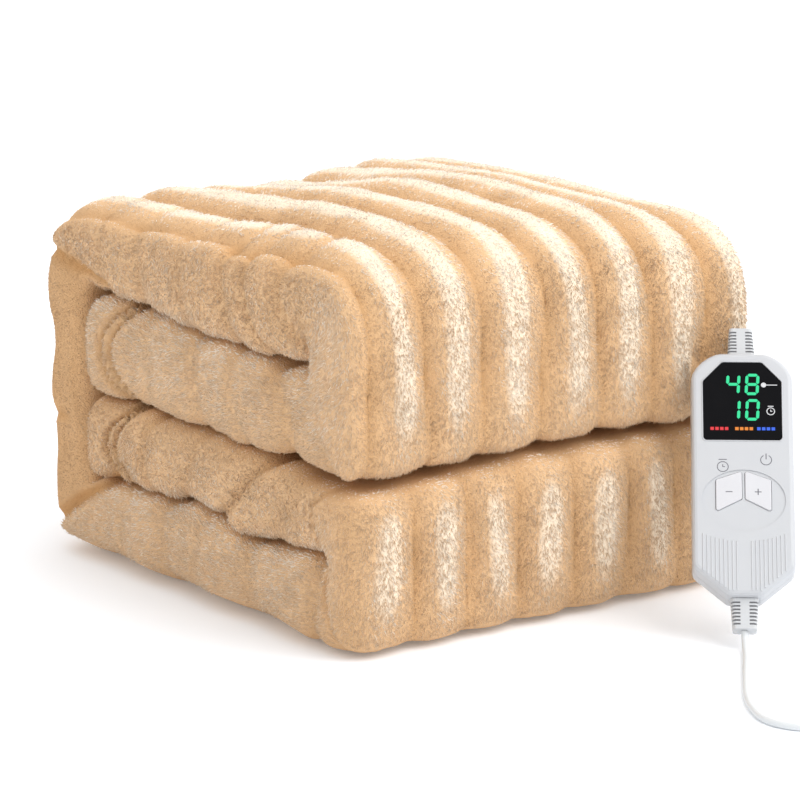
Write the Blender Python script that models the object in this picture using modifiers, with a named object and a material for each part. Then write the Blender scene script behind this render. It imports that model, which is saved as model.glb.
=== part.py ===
"""Electric heated blanket, folded, with its hand controller leaning on it and its mains lead.

Metres, +Z up.  X runs along the front of the folded blanket, from its smooth folded side to its
hemmed side, Y from its front folds to its back, and the origin lies under its middle, on the
surface it rests on.  The cloth is first folded in half twice across its width, which makes a strip
of four layers, and the strip is then folded over itself: its two ends to the middle, and in half.
"""

from math import cos, exp, hypot, pi, radians, sin

import bmesh
import bpy
from mathutils import Matrix, Vector

# ---------------------------------------------------------------- driving dimensions

GAP = 0.0003  # between pieces that touch

# the cloth and its strip of four layers
CLOTH = 0.0136  # thickness of the plush
LAYER_PITCH = 0.0149  # from layer to layer
OUTER_LAYER = 1.5 * LAYER_PITCH  # from the strip's middle to its outer layers
INNER_LAYER = 0.5 * LAYER_PITCH
HALF_STRIP = OUTER_LAYER + CLOTH / 2
RIGHT_HEM_X = 0.157  # outer layer's hem; the other layers stop a little short
RIGHT_FOLD_X = 0.143  # centre of the inner layers' fold at the hemmed side
LEFT_FOLD_X = -0.1305  # centre of the round folds at the smooth side
LEFT_FOLD_REACH = 0.022  # how far the outer fold's middle surface goes past that centre

# ribs, which run along the strip
RIB_PITCH = 0.0448
RIB_VALLEY_X = -0.013  # one valley on the front; the others follow at the pitch
RIB_HEIGHT = 0.007  # from valley to ridge
RIB_LEAN = -0.010  # how far the ribs have drifted sideways at the lowest front fold
RIB_SAMPLES = ((0.0, 0.0), (0.2, 0.74), (0.5, 1.0), (0.8, 0.74))  # place in a pitch, height

# the folded strip, seen from the side: heights of its four runs' middles and how full each is
BOTTOM_Z = 0.0283
THIRD_Z = 0.0830
SECOND_Z = 0.1475
TOP_Z = 0.2150
FULL_BOTTOM = 0.97
FULL_THIRD = 0.86
FULL_SECOND = 1.31
FULL_TOP = 0.92
FULL_UPPER_FOLD = 1.11
FULL_LOWER_FOLD = 0.90
FULL_BACK_TOP = 0.78
FULL_BACK = 0.70
FULL_BACK_FOOT = 0.66
FULL_FOOT_CORNER = 0.8
FULL_END = 0.92
# how square each fold is: 2 is round, and more fills the corner
SQUARE_UPPER_FRONT = 2.8
SQUARE_UPPER_FRONT_FOOT = 12.0
SQUARE_LOWER_FRONT_TOP = 6.0
SQUARE_LOWER_FRONT = 8.0
SQUARE_BACK_TOP = 3.6
SQUARE_BACK_FOOT = 6.0
SQUARE_SIDE = 3.0
TO_CORNERS = 0.12  # draws the stations of a fold towards its corners

UPPER_FOLD_Y = -0.0990
LOWER_FOLD_Y = -0.1120
BACK_TOP_Y = 0.1115  # centre of the round corner at the top of the back
BACK_TOP_R = 0.034
BACK_FOOT_R = 0.032
BACK_LEAN = radians(3.0)
SECOND_END_Y = 0.120  # the strip's two ends stop short of the back
THIRD_END_Y = 0.114
CROWN = 0.010  # how much the middle of the top stands above its edges
RIGHT_SAG = 0.010  # how far the top drops at the hemmed side
BACK_SAG = 0.011  # and behind the middle, at this X
BACK_SAG_X = -0.030
PUCKER = 0.003  # bulges along the smooth side's folds
PUCKER_PITCH = 0.082

# hand controller: its own axes are X across, Y into it and Z along it
BODY_W = 0.0635
BODY_L = 0.165
REAR_T = 0.0120
FRONT_T = 0.0105
SHOULDER = (0.0185, 0.0172)  # the top's rounded corners, across and down
SHOULDER_FULL = 1.25
HIP = (0.0215, 0.0186)  # the foot's slanted corners
HIP_R = 0.006
EDGE_R = 0.0030
WINDOW_TOP_HALF = 0.0124
WINDOW_HALF = 0.0245
WINDOW_TOP_Z = 0.0755
WINDOW_SHOULDER_Z = 0.0623
WINDOW_FOOT_Z = 0.0219
WINDOW_T = 0.0016
WINDOW_PROUD = 0.0001
WINDOW_CORNER = 0.0026
RECESS_HALF_W = 0.0262
RECESS_HALF_L = 0.0209
RECESS_Z = -0.0192
RECESS_DEPTH = 0.0006
KEY_INNER_X = 0.0010
KEY_OUTER_X = 0.0172
KEY_TOP_Z = (0.0007, -0.0053)  # at the inner and the outer edge
KEY_FOOT_Z = (-0.0182, -0.0268)
KEY_CORNER = 0.0012
KEY_EDGE_R = 0.0005
KEY_T = 0.0034
KEY_PROUD = 0.0008
KEY_TRAVEL = 0.0007
KEY_CLEARANCE = 0.0003
RELIEF_L = 0.020
RELIEF_W = (0.0172, 0.0146)  # at the housing and at the tip
RELIEF_T = (0.0120, 0.0096)
SLOT_COUNT = 7
SLOT_PITCH = 0.0023
SLOT_T = 0.0012
SLOT_HALF_RIB = 0.0028  # the solid rib between the left and right slots
SLOT_DEPTH = 0.0022
RELIEF_EDGE_R = 0.0022
CUTTER_OVER = 0.0020  # how far a cutter stands out of the face it cuts

CONTROLLER_YAW = radians(-38.5)
CONTROLLER_LEAN = radians(39.0)
CONTROLLER_FOOT = Vector((0.0626, -0.2757, 0.0105))  # tip of the lower strain relief

# mains lead
CORD_D = 0.0044
CORD_R = CORD_D / 2
CORD_STEP = 2.2 * CORD_D  # between the points of its curve
LEAD_STRAIGHT = 0.003  # how far it leaves its strain relief straight
TURNS_WIDE = 3
TURNS_HIGH = 3
COIL_R = 0.0264  # at the middle of its turns
COIL_CENTRE = Vector((0.0520, -0.4330, 0.0))
COIL_LIFT = 0.0013  # the tie passes under it
COIL_EDGE_R = 0.0018
TIE_W = 0.008
TIE_T = 0.0009
TIE_INSIDE = 0.0010  # clearance inside the ring, and with a little less outside it
TIE_OUTSIDE = 0.0003
TIE_EDGE_R = 0.0012
TIE_ANGLE = radians(100)
PLUG_L = 0.034
PLUG_W = 0.026
PLUG_TAIL_W = 0.017
PLUG_T = 0.016
SLEEVE_L = 0.020
SLEEVE_D = (0.0095, 0.0062)  # at the plug and at its tip
BLADE_GAP = 0.0127
BLADE = (0.0015, 0.0170, 0.0064)  # thickness, length, width
PLUG_EDGE_R = 0.002
PLUG_TIP = (0.0430, 0.0180)  # tip of its sleeve from the coil's centre, rightward and backward
LEAD_TURN = radians(-36.6)  # the coil and the plug are laid out along these turned directions
FLOOR_Z = CORD_R + 0.0001  # height of the lead's middle where it lies on the surface
LEAD_ROUTE = (
    # from the lower strain relief, towards the viewer, then round to the right and into the coil
    (0.0572, -0.2826, 0.0042),
    (0.0518, -0.2893, FLOOR_Z + 0.0002),
    (0.0425, -0.3001, FLOOR_Z),
    (0.0157, -0.3306, FLOOR_Z),
    (-0.0085, -0.3600, FLOOR_Z),
    (-0.0200, -0.3790, FLOOR_Z),
    (-0.0258, -0.3965, FLOOR_Z),
    (-0.0225, -0.4125, FLOOR_Z),
    (-0.0120, -0.4245, FLOOR_Z),
    (0.0035, -0.4365, FLOOR_Z),
    (0.0212, -0.4496, FLOOR_Z),
)
OVER_COIL = COIL_LIFT + TURNS_HIGH * CORD_D + GAP + CORD_R
TAIL_ROUTE = (
    # from the coil's innermost top turn, over the other turns and down to the plug's sleeve
    (0.0040, -0.0216, OVER_COIL),
    (0.0160, -0.0195, OVER_COIL),
    (0.0285, -0.0132, OVER_COIL),
    (0.0385, -0.0030, OVER_COIL - 0.0018),
    (0.0425, 0.0055, 0.0112),
    (PLUG_TIP[0], PLUG_TIP[1] - 0.0050, PLUG_T / 2 + 0.0002),
    (PLUG_TIP[0], PLUG_TIP[1] - 0.0004, PLUG_T / 2),
)

CLOTH_COLOUR = (0.72, 0.52, 0.34, 1.0)
HOUSING_COLOUR = (0.86, 0.87, 0.89, 1.0)
KEY_COLOUR = (0.88, 0.88, 0.91, 1.0)
WINDOW_COLOUR = (0.01, 0.01, 0.012, 1.0)
CORD_COLOUR = (0.87, 0.88, 0.88, 1.0)
BRASS_COLOUR = (0.78, 0.62, 0.32, 1.0)


# ---------------------------------------------------------------- helpers


def collection(name):
    made = bpy.data.collections.new(name)
    bpy.context.scene.collection.children.link(made)
    return made


def material(name, colour, roughness, metallic=0.0):
    made = bpy.data.materials.new(name)
    made.use_nodes = True
    shader = made.node_tree.nodes["Principled BSDF"]
    shader.inputs["Base Color"].default_value = colour
    shader.inputs["Roughness"].default_value = roughness
    shader.inputs["Metallic"].default_value = metallic
    return made


def add(name, data, look, parent=None):
    """Link an object of this mesh or curve to the model."""
    made = bpy.data.objects.new(name, data)
    PARTS.objects.link(made)
    data.materials.clear()
    data.materials.append(look)
    if parent:
        made.parent = parent
    return made


def as_cutter(made):
    for owner in made.users_collection:
        owner.objects.unlink(made)
    CUTTERS.objects.link(made)
    made.hide_render = True
    made.display_type = "WIRE"
    return made


def cut(target, cutter):
    step = target.modifiers.new(f"cut by {cutter.name}", "BOOLEAN")
    step.operation = "DIFFERENCE"
    step.solver = "EXACT"
    step.object = cutter


def mesh_of(made):
    """A mesh of an object with its modifiers or bevel, in its own axes, with its caps welded."""
    bpy.context.view_layer.update()
    seen = made.evaluated_get(bpy.context.evaluated_depsgraph_get())
    mesh = bpy.data.meshes.new_from_object(seen)
    shape = bmesh.new()
    shape.from_mesh(mesh)
    bmesh.ops.remove_doubles(shape, verts=shape.verts, dist=0.00001)
    shape.to_mesh(mesh)
    shape.free()
    return mesh


def rounded(corners, radius, steps=3):
    """The outline through these corners with each one turned into an arc."""
    points = []
    for i, corner in enumerate(corners):
        here = Vector(corner)
        before = (Vector(corners[i - 1]) - here).normalized()
        after = (Vector(corners[(i + 1) % len(corners)]) - here).normalized()
        half = before.angle(after) / 2
        reach = radius / sin(half)
        centre = here + (before + after).normalized() * reach
        start = here + before * (reach * cos(half)) - centre
        end = here + after * (reach * cos(half)) - centre
        for k in range(steps + 1):
            points.append(centre + start.lerp(end, k / steps).normalized() * radius)
    return points


def plate(name, outline, near_y, thickness):
    """A flat curve of this outline in X and Z, filled and as thick as stated, made a mesh."""
    curve = bpy.data.curves.new(name, "CURVE")
    curve.dimensions = "2D"
    curve.fill_mode = "BOTH"
    curve.extrude = thickness / 2
    spline = curve.splines.new("POLY")
    spline.points.add(len(outline) - 1)
    for point, (x, z) in zip(spline.points, outline):
        point.co = (x, z, 0.0, 1.0)
    spline.use_cyclic_u = True
    flat = bpy.data.objects.new(name, curve)
    PARTS.objects.link(flat)
    mesh = mesh_of(flat)
    bpy.data.objects.remove(flat)
    mesh.name = name
    upright = Matrix.Rotation(pi / 2, 4, "X")
    mesh.transform(Matrix.Translation((0, near_y + thickness / 2, 0)) @ upright)
    return mesh


def soften(mesh, y, radius, segments):
    """Round the rim of the face that lies at this Y."""
    shape = bmesh.new()
    shape.from_mesh(mesh)
    rim = [
        e
        for e in shape.edges
        if all(abs(v.co.y - y) < 0.00005 for v in e.verts)
        and len(e.link_faces) == 2
        and e.calc_face_angle(0.0) > radians(60)
    ]
    bmesh.ops.bevel(shape, geom=rim, offset=radius, segments=segments, profile=0.5, affect="EDGES")
    shape.to_mesh(mesh)
    shape.free()


def box(name, size, centre):
    shape = bmesh.new()
    bmesh.ops.create_cube(shape, size=1.0)
    mesh = bpy.data.meshes.new(name)
    shape.to_mesh(mesh)
    shape.free()
    mesh.transform(Matrix.Translation(centre) @ Matrix.Diagonal((*size, 1.0)))
    return mesh


def smooth(mesh, angle=40):
    mesh.shade_smooth()
    mesh.set_sharp_from_angle(angle=radians(angle))


def ease(t):
    t = min(max(t, 0.0), 1.0)
    return t * t * (3 - 2 * t)


# ---------------------------------------------------------------- blanket


def across_strip():
    """Stations across the cloth in the strip: X, height, facing X and height, rib and pucker."""
    stations = []
    first = int((RIGHT_HEM_X - RIB_VALLEY_X) / RIB_PITCH)
    last = int((LEFT_FOLD_X - RIB_VALLEY_X) / RIB_PITCH) - 1
    stations.append((RIGHT_HEM_X, OUTER_LAYER, 0, 1, 0.55, 0))
    for valley in range(first, last - 1, -1):
        for place, height in reversed(RIB_SAMPLES):
            x = RIB_VALLEY_X + (valley + place) * RIB_PITCH
            if LEFT_FOLD_X + 0.006 < x < RIGHT_HEM_X - 0.006:
                stations.append((x, OUTER_LAYER, 0, 1, height, 0))
    stations += fold(LEFT_FOLD_X, 0, -LEFT_FOLD_REACH, OUTER_LAYER, 8, pucker=True)
    stations += leg(LEFT_FOLD_X, RIGHT_FOLD_X, -OUTER_LAYER, 3)
    stations += fold(RIGHT_FOLD_X, -LAYER_PITCH, LAYER_PITCH / 2, -LAYER_PITCH / 2, 3)
    stations += leg(RIGHT_FOLD_X, LEFT_FOLD_X, -INNER_LAYER, 3)
    stations += fold(LEFT_FOLD_X, 0, -INNER_LAYER, -INNER_LAYER, 4, facing=-1)
    stations += leg(LEFT_FOLD_X, RIGHT_HEM_X - 0.003, INNER_LAYER, 3, to_end=True)
    return stations


def leg(x0, x1, height, steps, to_end=False):
    """Stations along a straight layer, without its ends unless it stops at a hem."""
    way = 1 if x1 > x0 else -1
    last = steps + 1 if to_end else steps
    return [(x0 + (x1 - x0) * k / steps, height, 0, -way, 0, 0) for k in range(1, last)]


def fold(x, height, reach, half, steps, pucker=False, facing=1):
    """Stations round half an ellipse, or a squarer one, from one side of its centre to the other."""
    square = SQUARE_SIDE if pucker else 2.0
    made = []
    for k in range(steps + 1):
        a = pi * k / steps
        across = abs(sin(a)) ** (2 / square) * (1 if reach > 0 else -1)
        along = abs(cos(a)) ** (2 / square) * (1 if cos(a) * half > 0 else -1)
        out_x, out_h = abs(reach) * across, abs(half) * along
        steep_x = abs(across) ** (square - 1) * (1 if across > 0 else -1) / abs(reach)
        steep_h = abs(along) ** (square - 1) * (1 if along > 0 else -1) / abs(half)
        slope = Vector((steep_x, steep_h)).normalized() * facing
        made.append((x + out_x, height + out_h, slope.x, slope.y, 0, sin(a) if pucker else 0))
    return made


def along_strip():
    """Stations along the strip's middle: Y, Z, the way it faces (0 is up), fullness, corner's."""
    back_top_z = TOP_Z - BACK_TOP_R
    back_foot_z = BOTTOM_Z + BACK_FOOT_R
    fall = back_top_z - back_foot_z - (BACK_TOP_R - BACK_FOOT_R) * sin(BACK_LEAN)
    straight = fall / cos(BACK_LEAN)
    back_foot_y = BACK_TOP_Y + (BACK_TOP_R - BACK_FOOT_R) * cos(BACK_LEAN)
    back_foot_y -= straight * sin(BACK_LEAN)
    upper_r = (TOP_Z - SECOND_Z) / 2
    lower_r = (THIRD_Z - BOTTOM_Z) / 2
    bends = (
        # centre and radius; first and last facing and steps; fullness along it; squareness
        (
            (UPPER_FOLD_Y, SECOND_Z + upper_r, upper_r),
            (-pi, 0.0, 9),
            (FULL_UPPER_FOLD, FULL_UPPER_FOLD, FULL_TOP),
            (SQUARE_UPPER_FRONT_FOOT, SQUARE_UPPER_FRONT),
        ),
        (
            (BACK_TOP_Y, back_top_z, BACK_TOP_R),
            (0.0, pi / 2 + BACK_LEAN, 6),
            (FULL_TOP, FULL_BACK_TOP, FULL_BACK),
            (SQUARE_BACK_TOP, SQUARE_BACK_TOP),
        ),
        (
            (back_foot_y, back_foot_z, BACK_FOOT_R),
            (pi / 2 + BACK_LEAN, pi, 5),
            (FULL_BACK_FOOT, FULL_FOOT_CORNER, FULL_BOTTOM),
            (SQUARE_BACK_FOOT, SQUARE_BACK_FOOT),
        ),
        (
            (LOWER_FOLD_Y, BOTTOM_Z + lower_r, lower_r),
            (pi, 2 * pi, 9),
            (FULL_LOWER_FOLD, FULL_LOWER_FOLD, FULL_THIRD),
            (SQUARE_LOWER_FRONT, SQUARE_LOWER_FRONT_TOP),
        ),
    )
    runs = (5, 8, 4, 4, 4)  # steps along each straight stretch
    middles = (FULL_SECOND, FULL_TOP, FULL_BACK, FULL_BOTTOM, FULL_THIRD)
    starts = [(SECOND_END_Y, SECOND_Z, -pi, FULL_END, 1.0)]
    stations = []
    for i, ((cy, cz, r), (a0, a1, steps), fulls, squares) in enumerate(bends):
        arc = []
        for k in range(steps + 1):
            t = k / steps
            a = a0 + (a1 - a0) * t
            a += TO_CORNERS * sin(4 * a)
            half = 0 if t < 0.5 else 1
            full = fulls[half] + (fulls[half + 1] - fulls[half]) * ease(2 * t - half)
            square = squares[half]
            wide = (abs(cos(a)) ** square + abs(sin(a)) ** square) ** (-1 / square)
            corner = ((r + HALF_STRIP * full) * wide - r) / (HALF_STRIP * full)
            arc.append((cy + r * sin(a), cz + r * cos(a), a, full, corner))
        run = stretch(starts[-1], arc[0], runs[i], middles[i])
        stations += (run[1:] if stations else run) + arc
        starts.append(arc[-1])
    end = (THIRD_END_Y, THIRD_Z, 2 * pi, FULL_END * FULL_THIRD, 1.0)
    stations += stretch(starts[-1], end, runs[4], middles[4])[1:] + [end]
    return stations


def stretch(start, end, steps, middle):
    """Stations of a straight run, with its first end and without its last, fullest in its middle."""
    made = []
    for k in range(steps):
        t = k / steps
        full = start[3] + (end[3] - start[3]) * t
        full += (middle - full) * sin(pi * t) ** 0.7 if 0 < t < 1 else 0.0
        y, z = (start[i] + (end[i] - start[i]) * t for i in (0, 1))
        made.append((y, z, start[2], full, 1.0))
    return made


def rib_amount(facing):
    """How far the ribs stand out: fully on what shows, and not where one run lies on another."""
    underside = ease((abs(facing) - radians(100)) / radians(50)) if facing < 0 else 0.0
    back = ease((facing - radians(100)) / radians(60)) * ease((radians(260) - facing) / radians(60))
    tucked = ease((facing - radians(290)) / radians(40))
    return max(0.0, 1 - max(underside, back, tucked))


def settle(point):
    """Where a point of the evenly folded blanket ends up in the uneven real one."""
    x, y, z = point
    height = z / (TOP_Z + FULL_TOP * HALF_STRIP)
    crown = CROWN * (1 - (x / 0.17) ** 2) * (1 - ((y - 0.02) / 0.20) ** 2)
    right_sag = -RIGHT_SAG * ease((x - 0.05) / 0.11)
    back_sag = -BACK_SAG * exp(-(((x - BACK_SAG_X) / 0.09) ** 2)) * ease((y + 0.02) / 0.16)
    z += height**2 * (crown + right_sag + back_sag)
    return Vector((x, y, max(z, 0.0)))


def make_blanket():
    """The flat cloth: a grid, thickened, and each of its points then carried to its folded place."""
    across, along = across_strip(), along_strip()
    columns, rows = len(across) - 1, len(along) - 1
    bpy.ops.mesh.primitive_grid_add(x_subdivisions=columns, y_subdivisions=rows, size=1.0)
    flat = bpy.context.object
    thicken = flat.modifiers.new("cloth", "SOLIDIFY")
    thicken.thickness = 1.0
    thicken.offset = 0.0
    bpy.context.view_layer.update()
    seen = flat.evaluated_get(bpy.context.evaluated_depsgraph_get())
    mesh = bpy.data.meshes.new_from_object(seen)
    mesh.name = "blanket"
    bpy.data.objects.remove(flat)
    travelled = [0.0]
    for before, after in zip(along, along[1:]):
        travelled.append(travelled[-1] + hypot(after[0] - before[0], after[1] - before[1]))
    for vertex in mesh.vertices:
        i = round((vertex.co.x + 0.5) * columns)
        j = round((vertex.co.y + 0.5) * rows)
        face = 1 if vertex.co.z > 0 else -1
        vertex.co = folded(across[i], along[j], face, travelled[j])
    if signed_volume(mesh) < 0:
        mesh.flip_normals()
    smooth(mesh, 60)
    return add("blanket", mesh, CLOTH_LOOK)


def folded(station, strip, face, travelled):
    """The place of one point of the cloth, on its outer (1) or inner (-1) face."""
    x, height, facing_x, facing_h, rib, pucker = station
    y, z, facing, full, corner = strip
    reach = face * CLOTH / 2
    lift = 0.0
    if face > 0 and height == OUTER_LAYER and facing_x == 0:
        lift = (rib - 0.5) * RIB_HEIGHT * rib_amount(facing)
        inside = ease((x - LEFT_FOLD_X) / 0.03) * ease((RIGHT_HEM_X - x) / 0.03)
        x += RIB_LEAN * ease(travelled / 1.2) * inside
    if face > 0:
        reach += PUCKER * pucker * sin(2 * pi * travelled / PUCKER_PITCH + 0.8 * sin(travelled * 9))
    x += reach * facing_x
    out = (height + reach * facing_h) * full
    out = (out * corner if out > 0 else out) + lift
    return settle((x, y + out * sin(facing), z + out * cos(facing)))


def signed_volume(mesh):
    mesh.calc_loop_triangles()
    total = 0.0
    for tri in mesh.loop_triangles:
        a, b, c = (mesh.vertices[i].co for i in tri.vertices)
        total += a.dot(b.cross(c))
    return total / 6


# ---------------------------------------------------------------- hand controller


def body_outline(inset=0.0):
    """The housing seen from the front: rounded shoulders, slanted hips."""
    half, top, foot = BODY_W / 2 - inset, BODY_L / 2 - inset, -BODY_L / 2 + inset
    right = []
    for k in range(7):
        a = pi / 2 * k / 6
        x = half - SHOULDER[0] * (1 - sin(a) ** SHOULDER_FULL)
        z = top - SHOULDER[1] * (1 - cos(a) ** SHOULDER_FULL)
        right.append((x, z))
    corners = [(half, 0.0), (half, foot + HIP[1]), (half - HIP[0], foot), (0.0, foot)]
    hip = rounded(corners, HIP_R, 2)
    right += [tuple(p) for p in hip[3:9]]
    return right + [(-x, z) for x, z in reversed(right)]


def window_outline(grow=0.0):
    corners = [
        (WINDOW_TOP_HALF, WINDOW_TOP_Z),
        (WINDOW_HALF, WINDOW_SHOULDER_Z),
        (WINDOW_HALF, WINDOW_FOOT_Z),
        (-WINDOW_HALF, WINDOW_FOOT_Z),
        (-WINDOW_HALF, WINDOW_SHOULDER_Z),
        (-WINDOW_TOP_HALF, WINDOW_TOP_Z),
    ]
    return [tuple(p) for p in rounded(grown(corners, grow), WINDOW_CORNER + grow)]


def key_outline(side, grow=0.0):
    corners = [
        (side * KEY_INNER_X, KEY_TOP_Z[0]),
        (side * KEY_OUTER_X, KEY_TOP_Z[1]),
        (side * KEY_OUTER_X, KEY_FOOT_Z[1]),
        (side * KEY_INNER_X, KEY_FOOT_Z[0]),
    ]
    return [tuple(p) for p in rounded(grown(corners, grow), KEY_CORNER + grow)]


def grown(corners, grow):
    """The corners of an outline moved outward so that each of its sides moves by grow."""
    centre = sum((Vector(c) for c in corners), Vector((0, 0))) / len(corners)
    made = []
    for i, corner in enumerate(corners):
        here = Vector(corner)
        before = (here - Vector(corners[i - 1])).normalized()
        after = (Vector(corners[(i + 1) % len(corners)]) - here).normalized()
        bisector = (before - after).normalized()
        if bisector.dot(here - centre) < 0:
            bisector.negate()
        made.append(here + bisector * grow / sin(before.angle(-after) / 2))
    return made


def controller_turn():
    return Matrix.Rotation(CONTROLLER_YAW, 3, "Z") @ Matrix.Rotation(-CONTROLLER_LEAN, 3, "X")


def make_controller():
    frame = bpy.data.objects.new("controller_frame", None)
    PARTS.objects.link(frame)
    turn = controller_turn()
    frame.location = CONTROLLER_FOOT + turn @ Vector((0, 0, RELIEF_L + BODY_L / 2))
    frame.rotation_euler = turn.to_euler()
    bpy.context.view_layer.update()
    rear = plate("housing_rear", body_outline(), GAP / 2, REAR_T)
    soften(rear, GAP / 2 + REAR_T, EDGE_R * 1.6, 3)
    smooth(rear)
    add("housing_rear", rear, HOUSING_LOOK, frame)
    face_y = -GAP / 2 - FRONT_T
    front = plate("housing_front", body_outline(), face_y, FRONT_T)
    soften(front, face_y, EDGE_R, 3)
    smooth(front)
    shell = add("housing_front", front, HOUSING_LOOK, frame)
    seat = plate("window seat", window_outline(GAP), face_y - CUTTER_OVER, CUTTER_OVER + WINDOW_T)
    cut(shell, as_cutter(add("window seat", seat, HOUSING_LOOK, frame)))
    window = plate("window", window_outline(), face_y - WINDOW_PROUD, WINDOW_T - GAP)
    add("window", window, WINDOW_LOOK, frame)
    make_keys(shell, frame, face_y)
    make_reliefs(frame)
    return frame


def make_keys(shell, frame, face_y):
    """A shallow lens-shaped recess, and in it a deep well with a key for each side."""
    lens = bmesh.new()
    bmesh.ops.create_cone(lens, cap_ends=True, segments=36, radius1=1.0, radius2=1.0, depth=1.0)
    mesh = bpy.data.meshes.new("key recess")
    lens.to_mesh(mesh)
    lens.free()
    turn = Matrix.Rotation(pi / 2, 4, "X")
    scale = Matrix.Diagonal((RECESS_HALF_W, CUTTER_OVER + RECESS_DEPTH, RECESS_HALF_L, 1.0))
    centre = (0, face_y + (RECESS_DEPTH - CUTTER_OVER) / 2, RECESS_Z)
    mesh.transform(Matrix.Translation(centre) @ scale @ turn)
    cut(shell, as_cutter(add("key recess", mesh, HOUSING_LOOK, frame)))
    floor_y = face_y + RECESS_DEPTH
    depth = KEY_T - KEY_PROUD + KEY_TRAVEL + GAP
    top_y = floor_y - KEY_PROUD
    for side, name in ((-1, "key_minus"), (1, "key_plus")):
        outline = key_outline(side, KEY_CLEARANCE)
        well = plate(f"well of {name}", outline, floor_y - CUTTER_OVER, CUTTER_OVER + depth)
        cut(shell, as_cutter(add(f"well of {name}", well, HOUSING_LOOK, frame)))
        key = plate(name, key_outline(side), top_y, KEY_T)
        soften(key, top_y, KEY_EDGE_R, 2)
        smooth(key)
        add(name, key, KEY_LOOK, frame)


def make_reliefs(frame):
    """Tapered slotted sleeves at both ends of the housing."""
    for name, way in (("strain_relief_upper", 1), ("strain_relief_lower", -1)):
        shape = bmesh.new()
        bmesh.ops.create_cube(shape, size=1.0)
        for vertex in shape.verts:
            x, y, z = vertex.co
            end = 1 if z > 0 else 0
            vertex.co = (x * RELIEF_W[end], y * RELIEF_T[end], (z + 0.5) * (RELIEF_L - GAP))
        long_edges = [e for e in shape.edges if abs(e.verts[0].co.z - e.verts[1].co.z) > RELIEF_L / 2]
        rounding = {"offset": RELIEF_EDGE_R, "segments": 3, "profile": 0.5, "affect": "EDGES"}
        bmesh.ops.bevel(shape, geom=long_edges, **rounding)
        mesh = bpy.data.meshes.new(name)
        shape.to_mesh(mesh)
        shape.free()
        mesh.transform(Matrix.Translation((0, 0, way * (BODY_L / 2 + GAP))) @ Matrix.Diagonal((1, 1, way, 1)))
        if way < 0:
            mesh.flip_normals()
        relief = add(name, mesh, HOUSING_LOOK, frame)
        comb = add(f"slots of {name}", slots_of(name, way), HOUSING_LOOK, frame)
        cut(relief, as_cutter(comb))


def slots_of(name, way):
    """Cutters for the slots on both sides of a sleeve's middle rib, in front and behind."""
    size = Vector((RELIEF_W[0] / 2, RELIEF_T[0] / 2, SLOT_T))
    start = (RELIEF_L - (SLOT_COUNT - 1) * SLOT_PITCH) / 2
    x = SLOT_HALF_RIB + size.x / 2
    y = RELIEF_T[1] / 2 - SLOT_DEPTH + size.y / 2
    comb = bmesh.new()
    for k in range(SLOT_COUNT):
        z = way * (BODY_L / 2 + start + k * SLOT_PITCH)
        for centre in ((-x, -y, z), (x, -y, z), (-x, y, z), (x, y, z)):
            place = Matrix.Translation(centre) @ Matrix.Diagonal((*size, 1.0))
            bmesh.ops.create_cube(comb, size=1.0, matrix=place)
    mesh = bpy.data.meshes.new(f"slots of {name}")
    comb.to_mesh(mesh)
    comb.free()
    return mesh


# ---------------------------------------------------------------- mains lead


def smooth_route(points, spacing):
    """Evenly spaced points on a smooth curve through the route's points."""
    route = [Vector(p) for p in points]
    ends = [2 * route[0] - route[1]] + route + [2 * route[-1] - route[-2]]
    fine = []
    for i in range(1, len(ends) - 2):
        for k in range(24):
            fine.append(between(ends[i - 1 : i + 3], k / 24))
    fine.append(route[-1])
    total = sum((b - a).length for a, b in zip(fine, fine[1:]))
    count = max(2, round(total / spacing))
    made, gone, target = [fine[0]], 0.0, total / count
    for a, b in zip(fine, fine[1:]):
        step = (b - a).length
        while gone + step >= target and len(made) < count:
            made.append(a.lerp(b, (target - gone) / step))
            target += total / count
        gone += step
    return made + [fine[-1]]


def between(four, t):
    """A point between the middle two of four points on a Catmull-Rom curve."""
    a, b, c, d = four
    straight = 2 * b + (c - a) * t
    curved = (2 * a - 5 * b + 4 * c - d) * t * t + (3 * b - a - 3 * c + d) * t**3
    return 0.5 * (straight + curved)


def tube(name, points):
    curve = bpy.data.curves.new(name, "CURVE")
    curve.dimensions = "3D"
    curve.bevel_depth = CORD_R
    curve.bevel_resolution = 2
    curve.use_fill_caps = True
    spline = curve.splines.new("POLY")
    spline.points.add(len(points) - 1)
    for point, place in zip(spline.points, points):
        point.co = (*place, 1.0)
    return add(name, curve, CORD_LOOK)


def make_coil():
    """The stored length: the outer shape of its turns, a turned ring."""
    half_w = TURNS_WIDE * CORD_R
    height = TURNS_HIGH * CORD_D
    corners = [(half_w, height), (half_w, 0.0), (-half_w, 0.0), (-half_w, height)]
    profile = rounded(corners, COIL_EDGE_R, 2)
    mesh = bpy.data.meshes.new("lead_coil")
    shape = bmesh.new()
    ring = [shape.verts.new((COIL_R + x, 0, z)) for x, z in profile]
    for a, b in zip(ring, ring[1:] + ring[:1]):
        shape.edges.new((a, b))
    shape.to_mesh(mesh)
    shape.free()
    coil = add("lead_coil", mesh, CORD_LOOK)
    turn = coil.modifiers.new("turned", "SCREW")
    turn.steps = turn.render_steps = 36
    turn.use_merge_vertices = True
    turn.merge_threshold = 0.00001
    coil.location = COIL_CENTRE + Vector((0, 0, COIL_LIFT))


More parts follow.
